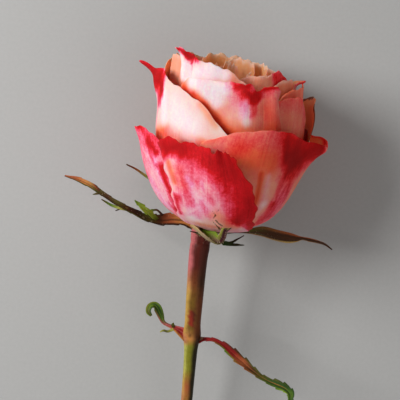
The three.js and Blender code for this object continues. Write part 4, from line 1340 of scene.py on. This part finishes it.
SEPALS = {
    "left": Blade(
        [
            (-5.8, 1.2, -2.1), (-10.2, 5.6, -0.3), (-14.6, 6.4, -0.1), (-19.1, 5.4, -0.6),
            (-23.5, 3.6, 0.1), (-28.4, 1, 2.6), (-32.3, -0.6, 4.6), (-36.8, 0.4, 6.6), (-41.3, 1.9, 8.8),
            (-46.2, 4.2, 10.1), (-51, 6.3, 10.6),
        ],
        [1.6, 2.1, 2.1, 1.9, 1.4, 1.0, 0.8, 0.8, 0.9, 0.8, 0.25], [(0, -0.75, 0.65), (0, -0.8, 0.6)],
        [
            AMBER, AMBER, AMBER, RUST, BROWN, OLIVE, BLACK_BROWN, BROWN, OLIVE, BROWN, OLIVE, AMBER, RUST,
            RUST,
        ],
        [OLIVE, BROWN, BLACK_BROWN, BLACK_BROWN, BLACK_BROWN, OLIVE, BROWN, BROWN, OLIVE, RUST, RUST],
        margins=([BLACK_BROWN, BLACK_BROWN, BLACK_BROWN, OLIVE, BLACK_BROWN, OLIVE, BROWN], None),
        rib=BROWN, grid=(17, 120), cup=0.4, teeth=(9, 0.12),
    ),
    "left_upper_lobe": Blade(
        [(-20.4, 5.2, -0.4), (-21.6, 3.6, 1.2), (-23.2, 1.4, 2.8), (-25.5, 0, 4.7), (-27.6, -0.6, 6.5)],
        [0.6, 0.7, 0.9, 0.8, 0.15], TO_VIEWER, [OLIVE, LIME, LIME, GREEN], teeth=(3, 0.3), grid=(13, 48),
    ),
    "left_lower_lobe": Blade(
        [(-29.4, 0.4, 3.1), (-31.8, -0.8, 3.5), (-34.8, -0.4, 4.1), (-38.1, 0.2, 5.5)],
        [0.6, 0.4, 0.4, 0.15], TO_VIEWER, [BROWN, YELLOW_GREEN, GREEN, BROWN], grid=(9, 36),
    ),
    "left_strand": Blade(
        [(-24.4, 5.2, -0.2), (-22.9, 5.5, 2.1), (-21.7, 5.6, 2.6), (-20.4, 5.6, 2.6), (-18.6, 5.4, 1.2)],
        [0.45, 0.32, 0.3, 0.3, 0.4], TO_VIEWER, [OLIVE, GREEN, BROWN, BLACK_BROWN], grid=(7, 28),
    ),
    "left_spike": Blade(
        [(-31.6, -0.2, 4.0), (-32.3, 0, 3.0), (-33.4, 0.2, 2.3)], [0.4, 0.25, 0.1], TO_VIEWER,
        [BROWN, BLACK_BROWN], grid=(7, 14),
    ),
    "left_tooth_high": Blade(
        [(-39.0, 1.2, 7.8), (-40.3, 1.4, 9.0), (-41.3, 1.6, 9.9)], [0.5, 0.3, 0.1], TO_VIEWER,
        [BROWN, RUST], grid=(7, 14),
    ),
    "left_tooth_low": Blade(
        [(-38.8, 1.0, 7.4), (-40.0, 1.2, 6.9), (-41.1, 1.4, 6.5)], [0.5, 0.3, 0.1], TO_VIEWER,
        [BROWN, OLIVE], grid=(7, 14),
    ),
    "back_left": Blade(
        [
            (-5.6, 1.5, -2), (-9, 9, -1.4), (-15, 15.8, 2.8), (-21, 19.4, 7.8), (-26, 21, 10.2),
            (-29.4, 20.6, 12.3), (-32.7, 19.3, 13.9),
        ],
        [1.6, 2, 1.9, 1.5, 0.8, 0.45, 0.25], [(0.2, 0.2, 0.95), (0.3, -0.6, 0.7)],
        [GREEN, OLIVE, GREEN, OLIVE, YELLOW_GREEN, RUST, BROWN],
        [GREEN, OLIVE, GREEN, GREEN, OLIVE, BROWN], rib=LIME, grid=(17, 72),
    ),
    "back_right": Blade(
        [(-5.2, 1.6, -2), (-1, 9, -0.9), (5, 15.6, 2), (10, 19.6, 6.6), (13, 21.8, 11), (14.6, 22.9, 15)],
        [1.6, 2, 1.9, 1.5, 0.9, 0.25], [(0, 0.2, 0.95), (0, -0.8, 0.4)],
        [GREEN, OLIVE, GREEN, OLIVE, RUST, BROWN], [GREEN, OLIVE, GREEN, GREEN, BROWN], rib=LIME,
        grid=(17, 72),
    ),
    "front": Blade(
        [
            (-5.6, -2, -1.8), (-7.0, -5.4, 0.2), (-6.6, -9.0, 1.0), (-4.5, -11.9, 0.0),
            (-1.6, -13.6, -1.0), (0.4, -14.8, -0.6), (1.2, -16.0, 1.6), (1.5, -16.7, 3.9),
            (3.0, -16.8, 5.3),
        ],
        [1.4, 1.9, 2.4, 2.5, 1.9, 1.4, 1.3, 1.0, 0.4],
        [
            (0, 0.05, 1), (-0.1, 0.1, 1), (-0.2, 0.1, 0.95), (-0.3, -0.1, 0.85), (-0.6, -0.6, 0.5),
            (-0.5, -0.85, 0.1), (-0.4, -0.9, 0.1),
        ],
        [FERN, FERN, FERN, FERN, DOWN, PURPLE, PURPLE, PURPLE, YELLOW_GREEN],
        [DOWN, DOWN, DOWN, DOWN, DOWN, PURPLE, PURPLE, PURPLE, YELLOW_GREEN],
        margins=(
            [FERN, FERN, FERN, FERN, YELLOW_GREEN, YELLOW_GREEN, YELLOW_GREEN],
            [DOWN, TAN, DOWN, OLIVE, PURPLE, PURPLE],
        ),
        grid=(25, 110), cup=0.95, hairs=(1.4, 1.7),
    ),
    "front_upper_spike": Blade(
        [(0.8, -13.4, -0.9), (3.2, -13.7, -0.7), (5.0, -13.4, 0.4), (7.2, -13, 1.9)],
        [0.6, 0.42, 0.25, 0.1], TO_VIEWER, [DARK_GREEN, NIGHT, PURPLE], grid=(9, 24),
    ),
    "front_lower_spike": Blade(
        [(1.0, -13.2, -1.2), (3.2, -13.4, -1.2), (5.4, -13.2, -1.2), (7.6, -13, -1.1)],
        [0.6, 0.5, 0.35, 0.1], TO_VIEWER, [DARK_GREEN, NIGHT, NIGHT], grid=(9, 24),
    ),
    "front_thin_spike": Blade(
        [(-5.9, -6.4, -0.9), (-7.6, -7.6, -0.1), (-9.3, -8.6, 0.4)], [0.35, 0.2, 0.1], TO_VIEWER,
        [GREEN, BROWN, PURPLE], grid=(7, 16),
    ),
    "right": Blade(
        [
            (-5.2, 0, -1.4), (0.5, -0.5, -1.0), (5.5, -0.9, -0.1), (9.5, -0.9, 0.4), (13.3, -0.4, 0.4),
            (17.5, -0.1, -0.3), (21.5, -0.1, -0.6), (24.2, -0.1, -0.6), (26.3, 0.1, -0.3),
            (28.6, 0.4, -0.6), (30.9, 0.8, -1.0), (33.6, 1.2, -1.7), (36.2, 1.9, -3.3),
        ],
        [1.6, 1.8, 1.3, 1.2, 2.0, 2.15, 1.85, 1.2, 0.55, 0.65, 0.5, 0.35, 0.18],
        [(0, 0.1, 1), (0, 0.8, 0.6), (0, 0.95, 0.2), (0, 0.95, 0.2), (0, 0.95, 0.2)],
        [GREEN, OLIVE, OLIVE, OLIVE, OLIVE, BROWN, BROWN],
        [OLIVE, OLIVE, OLIVE, BROWN, DARK_BROWN, DARK_BROWN, BLACK_BROWN, BLACK_BROWN, BLACK_BROWN],
        margins=([RUST, RUST, TAN, AMBER, BROWN], [BROWN, OLIVE, RUST, RUST, BROWN]), rib=BROWN,
        grid=(21, 130), cup=0.25, hairs=(0.2, 0.5),
    ),
}
print("sepals, lobes, spikes and teeth:", len(SEPALS))

# %% The hip and the calyx
HIP = [(2.8, -0.35, -5.6), (3.25, -1.2, -5.6), (3.28, -2.6, -5.6), (3.15, -4.4, -5.65), (2.6, -6.1, -5.7)]
HIP_RINGS = 20
HIP_SIDES = 60
HIP_RIBS = 10
RIB_SHARE = 0.02  # depth of the ribs as a share of the radius
HIP_HAIRS = 0.5
HIP_X = -5.6


def hip_arrays():
    """The ribbed hip, pink at its left edge and maroon elsewhere; the pink is partly its own and partly a
    painted highlight.
    """
    points, faces = round_body(turned_rings(HIP[::-1], HIP_RINGS, HIP_SIDES, HIP_RIBS, RIB_SHARE))
    # the pink left edge is partly the hip's own colour and partly a painted highlight where the lamp falls
    dark = smooth(points[:, 0] - HIP_X, -2.75, -0.75)[:, None]
    tint = opaque(np.array(ROSE_PINK) * (1 - dark) + np.array(MAROON) * dark)
    uv = np.stack([np.arctan2(points[:, 1], points[:, 0] - HIP_X) / 2, points[:, 2] / 12], 1)
    return lay(points), faces, {"tint": tint, "hairy": np.full(len(points), HIP_HAIRS)}, uv


sepal_sets = [blade.arrays(i) for i, blade in enumerate(SEPALS.values())]
calyx = new_mesh("calyx_dressed", *joined([hip_arrays(), *sepal_sets]), SEPAL_SKIN)
print("calyx faces:", len(calyx.data.polygons))

# %% [markdown]
# ## Hairs on the calyx
#
# Young sepals carry soft hairs and tiny glands, thickest under the folded front one. Hairs are a repeat on a
# surface, so Geometry Nodes scatter thin cones over it. The calyx's field called hairy says how many there
# are at each place, and every cone leans a little its own way.

# %% Scatter hairs
SHORTEST = 0.5  # shares of a hair's stated length
LONGEST = 1.2


def hairs_tree():
    """Thin cones scattered over a surface, denser where the field called hairy is high."""
    group, tree, given = geometry_tree(
        "hairs",
        {
            "Hairs a square metre": ("Float", 1.1e6),
            "Length": ("Float", 0.00055),
            "Radius": ("Float", 0.000035),
            "Lean": ("Float", 0.5),
            "Seed": ("Int", 7),
            "Skin": ("Material", None),
        },
    )
    hairy = tree.node("GeometryNodeInputNamedAttribute", {"data_type": "FLOAT"}, {"Name": "hairy"})
    settings = {"distribute_method": "RANDOM"}
    density = given["Hairs a square metre"] * hairy
    sockets = {"Mesh": given["Geometry"], "Density": density, "Seed": given["Seed"]}
    scattered = tree.node("GeometryNodeDistributePointsOnFaces", settings, sockets)
    rotation = Value(tree, scattered.socket.node.outputs["Rotation"])
    sockets = {0: (-1.0, -1.0, -1.0), 1: (1.0, 1.0, 1.0), "Seed": given["Seed"]}
    random = tree.node("FunctionNodeRandomValue", {"data_type": "FLOAT_VECTOR"}, sockets)
    leaning = tree.node("ShaderNodeVectorMath", {"operation": "SCALE"}, {0: random, "Scale": given["Lean"]})
    leaned = tree.node("FunctionNodeEulerToRotation", {}, {"Euler": leaning})
    turned = tree.node("FunctionNodeRotateRotation", {"rotation_space": "LOCAL"}, {0: rotation, 1: leaned})
    sockets = {2: SHORTEST, 3: LONGEST, "Seed": given["Seed"]}
    sizes = tree.node("FunctionNodeRandomValue", {"data_type": "FLOAT"}, sockets, out=1)
    shape = {"Vertices": 3, "Radius Top": 0.0, "Radius Bottom": given["Radius"], "Depth": given["Length"]}
    cone = tree.node("GeometryNodeMeshCone", {"fill_type": "NGON"}, shape)
    sockets = {"Points": scattered, "Instance": cone, "Rotation": turned, "Scale": sizes}
    copies = tree.node("GeometryNodeInstanceOnPoints", {}, sockets)
    real = tree.node("GeometryNodeRealizeInstances", {}, {"Geometry": copies})
    end_tree(group, tree.node("GeometryNodeSetMaterial", {}, {"Geometry": real, "Material": given["Skin"]}))
    return group


def hair_skin():
    """From pale tan to straw."""
    material, tree, shader = new_material("hair_skin", Roughness=0.5, Specular_IOR_Level=0.4)
    tone = tree.noise(tree.object_place(), 200, 2.0)
    drive(shader, Base_Color=tree.mix(tone, (0.50, 0.36, 0.22), (0.66, 0.58, 0.40)))
    return material


hairs = grown(calyx, hairs_tree(), "calyx_hairs", {"Skin": hair_skin()})
print("hair faces:", len(hairs.data.polygons))

# %% Ride and replace the calyx
for piece in (calyx, hairs):
    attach(piece, "root")
    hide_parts("calyx")

# %% [markdown]
# ## The stem, swept by Geometry Nodes
#
# A stem follows a path, so one curve and a round profile make it. The path's points carry the radius, with
# a swelling where each leaf was or is. After the sweep its tints are painted from its place: rose red under
# the flower, straw with a crimson blotch above the joint, and green below it. Three lists give them for its
# paler left side, its middle and its darker right side, as the photograph shows them.
# The left side is paler by painted light and the right side darker by painted shade, over the stem's own
# colours.

# %% Sweep the stem
STEM_PATH = [
    (-5.65, 0, -3.6), (-5.75, 0, -6.4), (-5.9, 0, -12), (-5.5, 0, -30), (-4.9, 0, -50), (-4.2, 0.8, -90),
    (-3.4, 3.66, -142),
]
STEM_RADII = [2.7, 3.14, 2.98, 2.6, 1.95, 1.75, 1.9]
JOINTS = [(-36.0, 0.55), (-98, 0.3)]  # height and swelling of each joint
JOINT_REACH = 2.6
STEM_RINGS = 320
STEM_SIDES = 40


def stem_tree():
    """A round tube along a line of points, whose radius is the field called thick, with a bumpy skin."""
    group, tree, given = geometry_tree(
        "stem",
        {
            "Sides": ("Int", STEM_SIDES),
            "Bumps": ("Float", 0.00009),
            "Bump scale": ("Float", 260.0),
            "Skin": ("Material", None),
        },
    )
    curve = tree.node("GeometryNodeMeshToCurve", {}, {"Mesh": given["Geometry"]})
    thick = tree.node("GeometryNodeInputNamedAttribute", {"data_type": "FLOAT"}, {"Name": "thick"})
    circle = tree.node("GeometryNodeCurvePrimitiveCircle", {}, {"Resolution": given["Sides"], "Radius": 1.0})
    sockets = {"Curve": curve, "Profile Curve": circle, "Scale": thick, "Fill Caps": True}
    tube = tree.node("GeometryNodeCurveToMesh", {}, sockets)
    bumps = tree.node("ShaderNodeTexNoise", {}, {"Scale": given["Bump scale"], "Detail": 2.0})
    normal = tree.node("GeometryNodeInputNormal")
    push = {0: normal, "Scale": given["Bumps"] * (bumps - 0.5)}
    pushed = tree.node("ShaderNodeVectorMath", {"operation": "SCALE"}, push)
    moved = tree.node("GeometryNodeSetPosition", {}, {"Geometry": tube, "Offset": pushed})
    real = tree.node("GeometryNodeRealizeInstances", {}, {"Geometry": moved})
    end_tree(group, tree.node("GeometryNodeSetMaterial", {}, {"Geometry": real, "Material": given["Skin"]}))
    return group


stem_line = rail(STEM_PATH, np.linspace(0, 1, STEM_RINGS))[0]
stem_thick = ease(STEM_RADII, np.linspace(0, 1, STEM_RINGS))
for height, swell in JOINTS:
    stem_thick = stem_thick + swell * np.exp(-(((stem_line[:, 2] - height) / JOINT_REACH) ** 2))
stem_source = new_mesh("stem_source", stem_line * MM, [], {"thick": stem_thick * MM})
stem_source.data.edges.add(STEM_RINGS - 1)
pairs = np.stack([np.arange(STEM_RINGS - 1), np.arange(1, STEM_RINGS)], 1)
stem_source.data.edges.foreach_set("vertices", pairs.ravel().astype(np.int32))
stem = grown(stem_source, stem_tree(), "stem_dressed", {"Skin": STEM_SKIN})
bpy.data.objects.remove(stem_source)
print("stem faces:", len(stem.data.polygons), "reach in mm:", [round(v * 1000, 1) for v in stem.dimensions])

# %% Tints of the stem
# The stem's own colours run down each list. The left list is also lighter by painted light, and the right one
# darker by painted shade.
STEM_LEFT_LIT = [
    (-142, GREEN), (-102, YELLOW_GREEN), (-98, SALMON), (-95, MOSS), (-66, YELLOW_GREEN), (-58, SALMON),
    (-52, STRAW), (-47, YELLOW_GREEN), (-39.5, YELLOW_GREEN), (-38, SALMON), (-36, SALMON), (-34, STRAW),
    (-22, STRAW), (-17, SALMON), (-13, ROSE_PINK), (-3, ROSE_PINK),
]
STEM_MIDDLE = [
    (-142, OLIVE), (-103, MOSS), (-97, BROWN), (-66, MOSS), (-53, RUST), (-47, MOSS), (-39, MOSS),
    (-36.5, AMBER), (-33, UMBER), (-24, UMBER), (-18, BRONZE), (-12, MAROON), (-3, MAROON),
]
STEM_RIGHT_SHADED = [
    (-142, OLIVE), (-103, DARK_GREEN), (-97, BROWN), (-56, NIGHT), (-40, NIGHT), (-37, DARK_BROWN),
    (-33, BRONZE), (-24, BRONZE), (-18, DARK_BROWN), (-3, MAROON),
]
BLOTCH = (-0.15, -29.4)  # the crimson blotch's place: across, in radii, and height in mm
BLOTCH_REACH = 3.1  # mm up and down
BUD = (-0.2, -35.2)  # the brown bud's place
BUD_SIZE = (0.16, 0.7)


def stem_tints(points):
    """Tints of the stem at points of the rose's frame, in mm: red above, straw and then green going down,
    lighter on the left by painted light and darker on the right by painted shade.
    """
    z = points[:, 2]
    middle_x = np.interp(-z, -stem_line[:, 2], stem_line[:, 0])
    x = (points[:, 0] - middle_x) / np.interp(-z, -stem_line[:, 2], stem_thick)
    uneven = 0.08 * np.sin(0.7 * z) + 0.02 * np.sin(2.3 * z + 1)
    # painted light and shade: these masks blend from the lit left list through the middle one to the shaded
    # right list
    first = smooth(x + uneven, -0.9, -0.3)[:, None]
    second = smooth(x + uneven, -0.05, 0.6)[:, None]
    tint = banded(z, STEM_LEFT_LIT) * (1 - first) + banded(z, STEM_MIDDLE) * first
    tint = tint * (1 - second) + banded(z, STEM_RIGHT_SHADED) * second
    front = points[:, 1] < 0
    wide = 0.5 + 0.06 * np.sin(1.9 * z)
    blotch = np.exp(-(((z - BLOTCH[1]) / BLOTCH_REACH) ** 4) - ((x - BLOTCH[0]) / wide) ** 2) * front
    blotch = 0.95 * smooth(blotch + 0.15 * np.sin(3.1 * z + 4 * x), 0.1, 0.9)[:, None]
    red = smooth(x + 0.1 * z + 2.95, -0.4, 0.3)[:, None]
    tint = tint * (1 - blotch) + (np.array(BRICK) * (1 - red) + np.array(MAROON) * red) * blotch
    bud = np.exp(-(((z - BUD[1]) / BUD_SIZE[1]) ** 2) - ((x - BUD[0]) / BUD_SIZE[0]) ** 2) * front
    bud = 0.8 * bud[:, None]
    return opaque(tint * (1 - bud) + np.array(BROWN) * bud)


# %% Tint the stem and lay it down
def coordinates(data):
    """The mesh's vertices as an array."""
    values = np.zeros(len(data.vertices) * 3, np.float32)
    data.vertices.foreach_get("co", values)
    return values.reshape(-1, 3)


in_rose = coordinates(stem.data) / MM
around = np.arctan2(in_rose[:, 1], in_rose[:, 0] + 5) / (2 * np.pi)
add_field(stem.data, "tint", stem_tints(in_rose))
add_uv(stem.data, np.stack([around, in_rose[:, 2] / UV_LENGTH], 1))
laid_stem = press(lay(in_rose), 0.0)
stem.data.vertices.foreach_set("co", laid_stem.astype(np.float32).ravel())
stem.data.shade_smooth()
stem.data.update()
print("lowest point of the stem in mm:", round(float(laid_stem[:, 2].min()) * 1000, 3))

# %% [markdown]
# ## The cut end
#
# The knife leaves a clean disc: pale pith, a greener ring of wood and a thin dark bark. A flat face can't
# change its tint from the middle outwards, so the disc is a small body of its own with rings on its face.

# %% Cut disc
CUT_RINGS = [
    (0, PITH), (0.35, PITH), (0.5, YELLOW_GREEN), (0.72, PITH), (0.86, YELLOW_GREEN), (0.95, GREEN),
    (1, OLIVE),
]
CUT_SIDES = 40
CUT_LIFT = 0.12  # mm that the disc stands out of the stem's end
CUT_DEPTH = 0.3  # mm that it reaches into the stem
CUT_INSET = 0.06  # mm by which it is smaller than the stem
CUT_EYE = 0.12  # radius of its innermost ring, as a share of its own


def make_cut():
    """A low disc whose rings lie where its tints change."""
    ends, ahead = rail(STEM_PATH, np.array([1.0]))
    a = unit(np.cross((0, 1, 0), ahead[0]))
    b = np.cross(ahead[0], a)
    angle = np.linspace(0, 2 * np.pi, CUT_SIDES, endpoint=False)
    ring = np.cos(angle)[:, None] * a + np.sin(angle)[:, None] * b
    radius = STEM_RADII[-1] - CUT_INSET
    shares = [1, 1] + [share for share, _ in CUT_RINGS[:0:-1]] + [CUT_EYE]
    lifts = [-CUT_DEPTH] + [CUT_LIFT] * (len(shares) - 1)
    rings = np.stack([ends[0] + ring * radius * s + ahead[0] * h for s, h in zip(shares, lifts)])
    points, faces = round_body(rings)
    off = points - ends[0]
    far = np.linalg.norm(off - off @ ahead[0][:, None] * ahead[0], axis=1) / radius
    fields = {"tint": opaque(banded(far, CUT_RINGS))}
    return new_mesh("stem_cut", press(lay(points), 0.0), faces, fields, points[:, :2] / 10, STEM_SKIN)


cut = make_cut()
print("cut disc faces:", len(cut.data.polygons))

# %% Ride and replace the stem
for piece in (stem, cut):
    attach(piece, "root")
    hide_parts("stem")

# %% [markdown]
# ## Two leaves of the joint
#
# The left leaf is short: a red wedge of a foot, a pink stalk and a striped green blade that curls over on
# itself. The right one is a long arc, red where it leaves the stem, then olive with an amber rib and a
# toothed lower edge, and dark green where its end droops. Small buds and stipules sit by their feet.

# %% Leaf outlines
LEAF_LEFT = [
    Blade(
        [
            (-7.0, -0.1, -36.5), (-9.2, -0.1, -35.1), (-11.2, -0.2, -34.1), (-13.2, -0.5, -33.4),
            (-14.9, -0.8, -32.3), (-16.0, -1.2, -29.9), (-17.2, -1.7, -27.6), (-18.4, -2.4, -26.6),
            (-19.5, -3.1, -27.0), (-19.7, -3.8, -28.4), (-18.8, -4.1, -29.6),
        ],
        [1.9, 1.45, 0.8, 0.5, 0.6, 1.05, 1.25, 1.15, 1.0, 0.8, 0.4],
        [(0.2, -0.9, 0.4), (0.1, -0.9, 0.4), (-0.6, -0.5, 0.7)],
        [ROSE_RED, WINE, ROSE_RED, ROSE_PINK, GREEN, DARK_GREEN, DARK_GREEN, GREEN, OLIVE, OLIVE],
        [ROSE_RED, ROSE_RED, ROSE_PINK, RUST, GREEN, LIME, GREEN, OLIVE, OLIVE],
        rib=[ROSE_PINK, ROSE_PINK, LIME, LIME, DOWN],
        margins=(
            [AMBER, AMBER, ROSE_PINK, MOSS, DARK_GREEN, DARK_GREEN],
            [ROSE_RED, ROSE_PINK, OLIVE, GREEN, MOSS, GREEN],
        ),
        grid=(21, 120), cup=0.42, thick=0.55,
    ),
    Blade(
        [(-11.4, -0.3, -34.0), (-11.7, -0.5, -33.0), (-11.6, -0.7, -32.3)], [0.5, 0.5, 0.15], TO_VIEWER,
        [BROWN, OLIVE, OLIVE], grid=(7, 14),
    ),
    Blade(
        [(-11.4, -0.6, -34.4), (-13.0, -1.1, -35.2), (-14.6, -1.4, -35.0), (-15.6, -1.7, -35.5)],
        [0.45, 0.35, 0.3, 0.12], TO_VIEWER, [YELLOW_GREEN, OLIVE, YELLOW_GREEN], grid=(7, 30),
    ),
]
LEAF_RIGHT = [
    Blade(
        [
            (-2.9, -0.4, -37.5), (-1.4, -0.5, -36.9), (1.2, -0.8, -36.5), (3.9, -1.6, -37.1),
            (6.6, -2.3, -38.6), (9.4, -3.1, -40.5), (12.2, -4.1, -42.2), (14.9, -5.1, -43.8),
            (17.6, -6.0, -45.2), (20.3, -6.8, -46.2), (22.9, -7.5, -46.8), (25.2, -8.2, -47.3),
            (26.8, -9.0, -48.0), (27.7, -9.9, -49.2), (27.4, -10.8, -50.9),
        ],
        [0.8, 0.65, 0.65, 0.9, 1.3, 1.7, 1.65, 1.2, 1.0, 1.1, 1.4, 1.5, 1.5, 1.2, 0.5],
        [(0.2, -0.8, 0.6), (0.3, -0.7, 0.6)],
        [
            WINE, WINE, WINE, WINE, WINE, RUST, BROWN, OLIVE, DARK_GREEN, DARK_GREEN, DARK_GREEN, GREEN,
            DARK_GREEN,
        ],
        [WINE, WINE, WINE, RUST, OLIVE, OLIVE, GREEN, GREEN, GREEN],
        rib=[ROSE_RED, WINE, WINE, RUST, AMBER, AMBER, GREEN, GREEN],
        margins=(
            [WINE, WINE, BROWN, OLIVE, OLIVE, DARK_GREEN, DARK_GREEN],
            [WINE, WINE, GREEN, RUST, OLIVE, GREEN, LIME, GREEN],
        ),
        grid=(23, 170), cup=0.3, teeth=(11, 0.2), wave=(0.16, 9, 1.0), thick=0.55,
    ),
    Blade(
        [(-2.9, -1.2, -36.6), (-2.1, -1.5, -36.2), (-1.5, -1.7, -35.9)], [0.6, 0.5, 0.2], TO_VIEWER,
        [BLACK_BROWN, BROWN, BROWN], grid=(9, 18),
    ),
]

# %% Make, ride and replace the leaves
for name, blades in (("leaf_left", LEAF_LEFT), ("leaf_right", LEAF_RIGHT)):
    sets = [blade.arrays(i) for i, blade in enumerate(blades)]
    leaf = new_mesh(name + "_dressed", *joined(sets), LEAF_SKIN)
    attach(leaf, "root")
    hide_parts(name)
    print(leaf.name, "faces:", len(leaf.data.polygons))

# %% [markdown]
# ## Table, light and camera
#
# The flower lies on a plain pale table, and the camera looks down on it, so that it sees the bloom as the
# photograph does: from a little above the rim, with the stem leaning a few degrees.

# %% Table
TABLE = 1.2  # metres across


def make_table():
    """A plain pale sheet that only dresses the picture."""
    material, tree, shader = new_material("table_top", Roughness=0.8)
    grain = tree.noise(tree.object_place(), 900, 2.0)
    drive(shader, Base_Color=tree.mix(grain, (0.37, 0.385, 0.395), (0.41, 0.425, 0.435)))
    h = TABLE / 2
    corners = [(-h, -h, 0), (h, -h, 0), (h, h, 0), (-h, h, 0)]
    table = new_mesh("table", corners, [(0, 1, 2, 3)], material=material)
    print("table across, in metres:", TABLE)


make_table()

# %% Camera
ELEVATION = math.radians(12)  # how far the photograph looks down on the upright bloom
LEAN = math.radians(6)  # how far the bloom's axis leans in the photograph
MM_A_PIXEL = 0.3158
DISTANCE = 330  # mm from the camera to the middle of the bloom
FRAME_PIXELS = 400
ORIGIN_PIXEL = (220, 229)  # where the petals' foot falls in the photograph's frame
SENSOR = 36  # mm, the camera's own


def make_camera():
    """A camera that sees the bloom as large, and from as far above it, as the photograph does."""
    ahead = np.array([0, math.cos(ELEVATION), -math.sin(ELEVATION)])
    rise = np.array([0, math.sin(ELEVATION), math.cos(ELEVATION)])
    east = np.array([1.0, 0, 0])
    right = east * math.cos(LEAN) + rise * math.sin(LEAN)
    up = rise * math.cos(LEAN) - east * math.sin(LEAN)
    half = FRAME_PIXELS / 2
    off = ((ORIGIN_PIXEL[0] - half) * MM_A_PIXEL, (half - ORIGIN_PIXEL[1]) * MM_A_PIXEL)
    place = -ahead * DISTANCE - right * off[0] - up * off[1]
    turn = Matrix([right, up, -ahead]).transposed()
    data = bpy.data.cameras.new("camera")
    data.sensor_width = SENSOR
    data.lens = SENSOR * DISTANCE / (FRAME_PIXELS * MM_A_PIXEL)
    camera = placed("camera", data)
    camera.matrix_world = LAID @ Matrix.Translation(Vector(place) * MM) @ turn.to_4x4()
    bpy.context.scene.camera = camera
    print("focal length in mm:", round(data.lens, 1))


make_camera()

# %% Lights
TARGET = Vector(lay([(0, 0, 28)])[0])  # the middle of the bloom
LAMPS = {  # place from the bloom's middle and width, in metres, power in watts, and colour
    "window": ((-0.5, 0.12, 0.4), 0.3, 4.7, (1.0, 0.965, 0.92)),
    "fill": ((0.4, -0.3, 0.6), 0.6, 1.3, (1.0, 0.93, 0.86)),
}
ROOM_COLOUR = (1.0, 0.96, 0.93, 1)
ROOM_STRENGTH = 0.24


def area_light(name, place, size, power, colour):
    """A soft square lamp that looks at the bloom."""
    data = bpy.data.lights.new(name, "AREA")
    data.size = size
    data.energy = power
    data.color = colour
    lamp = placed(name, data)
    lamp.location = TARGET + Vector(place)
    lamp.rotation_euler = (-Vector(place)).to_track_quat("-Z", "Y").to_euler()


for name, settings in LAMPS.items():
    area_light(name, *settings)
world = bpy.data.worlds.new("room")
bpy.context.scene.world = world
world.use_nodes = True
background = world.node_tree.nodes["Background"]
background.inputs["Color"].default_value = ROOM_COLOUR
background.inputs["Strength"].default_value = ROOM_STRENGTH
bpy.context.scene.view_settings.view_transform = "Standard"
print("lamps:", len(bpy.data.lights))
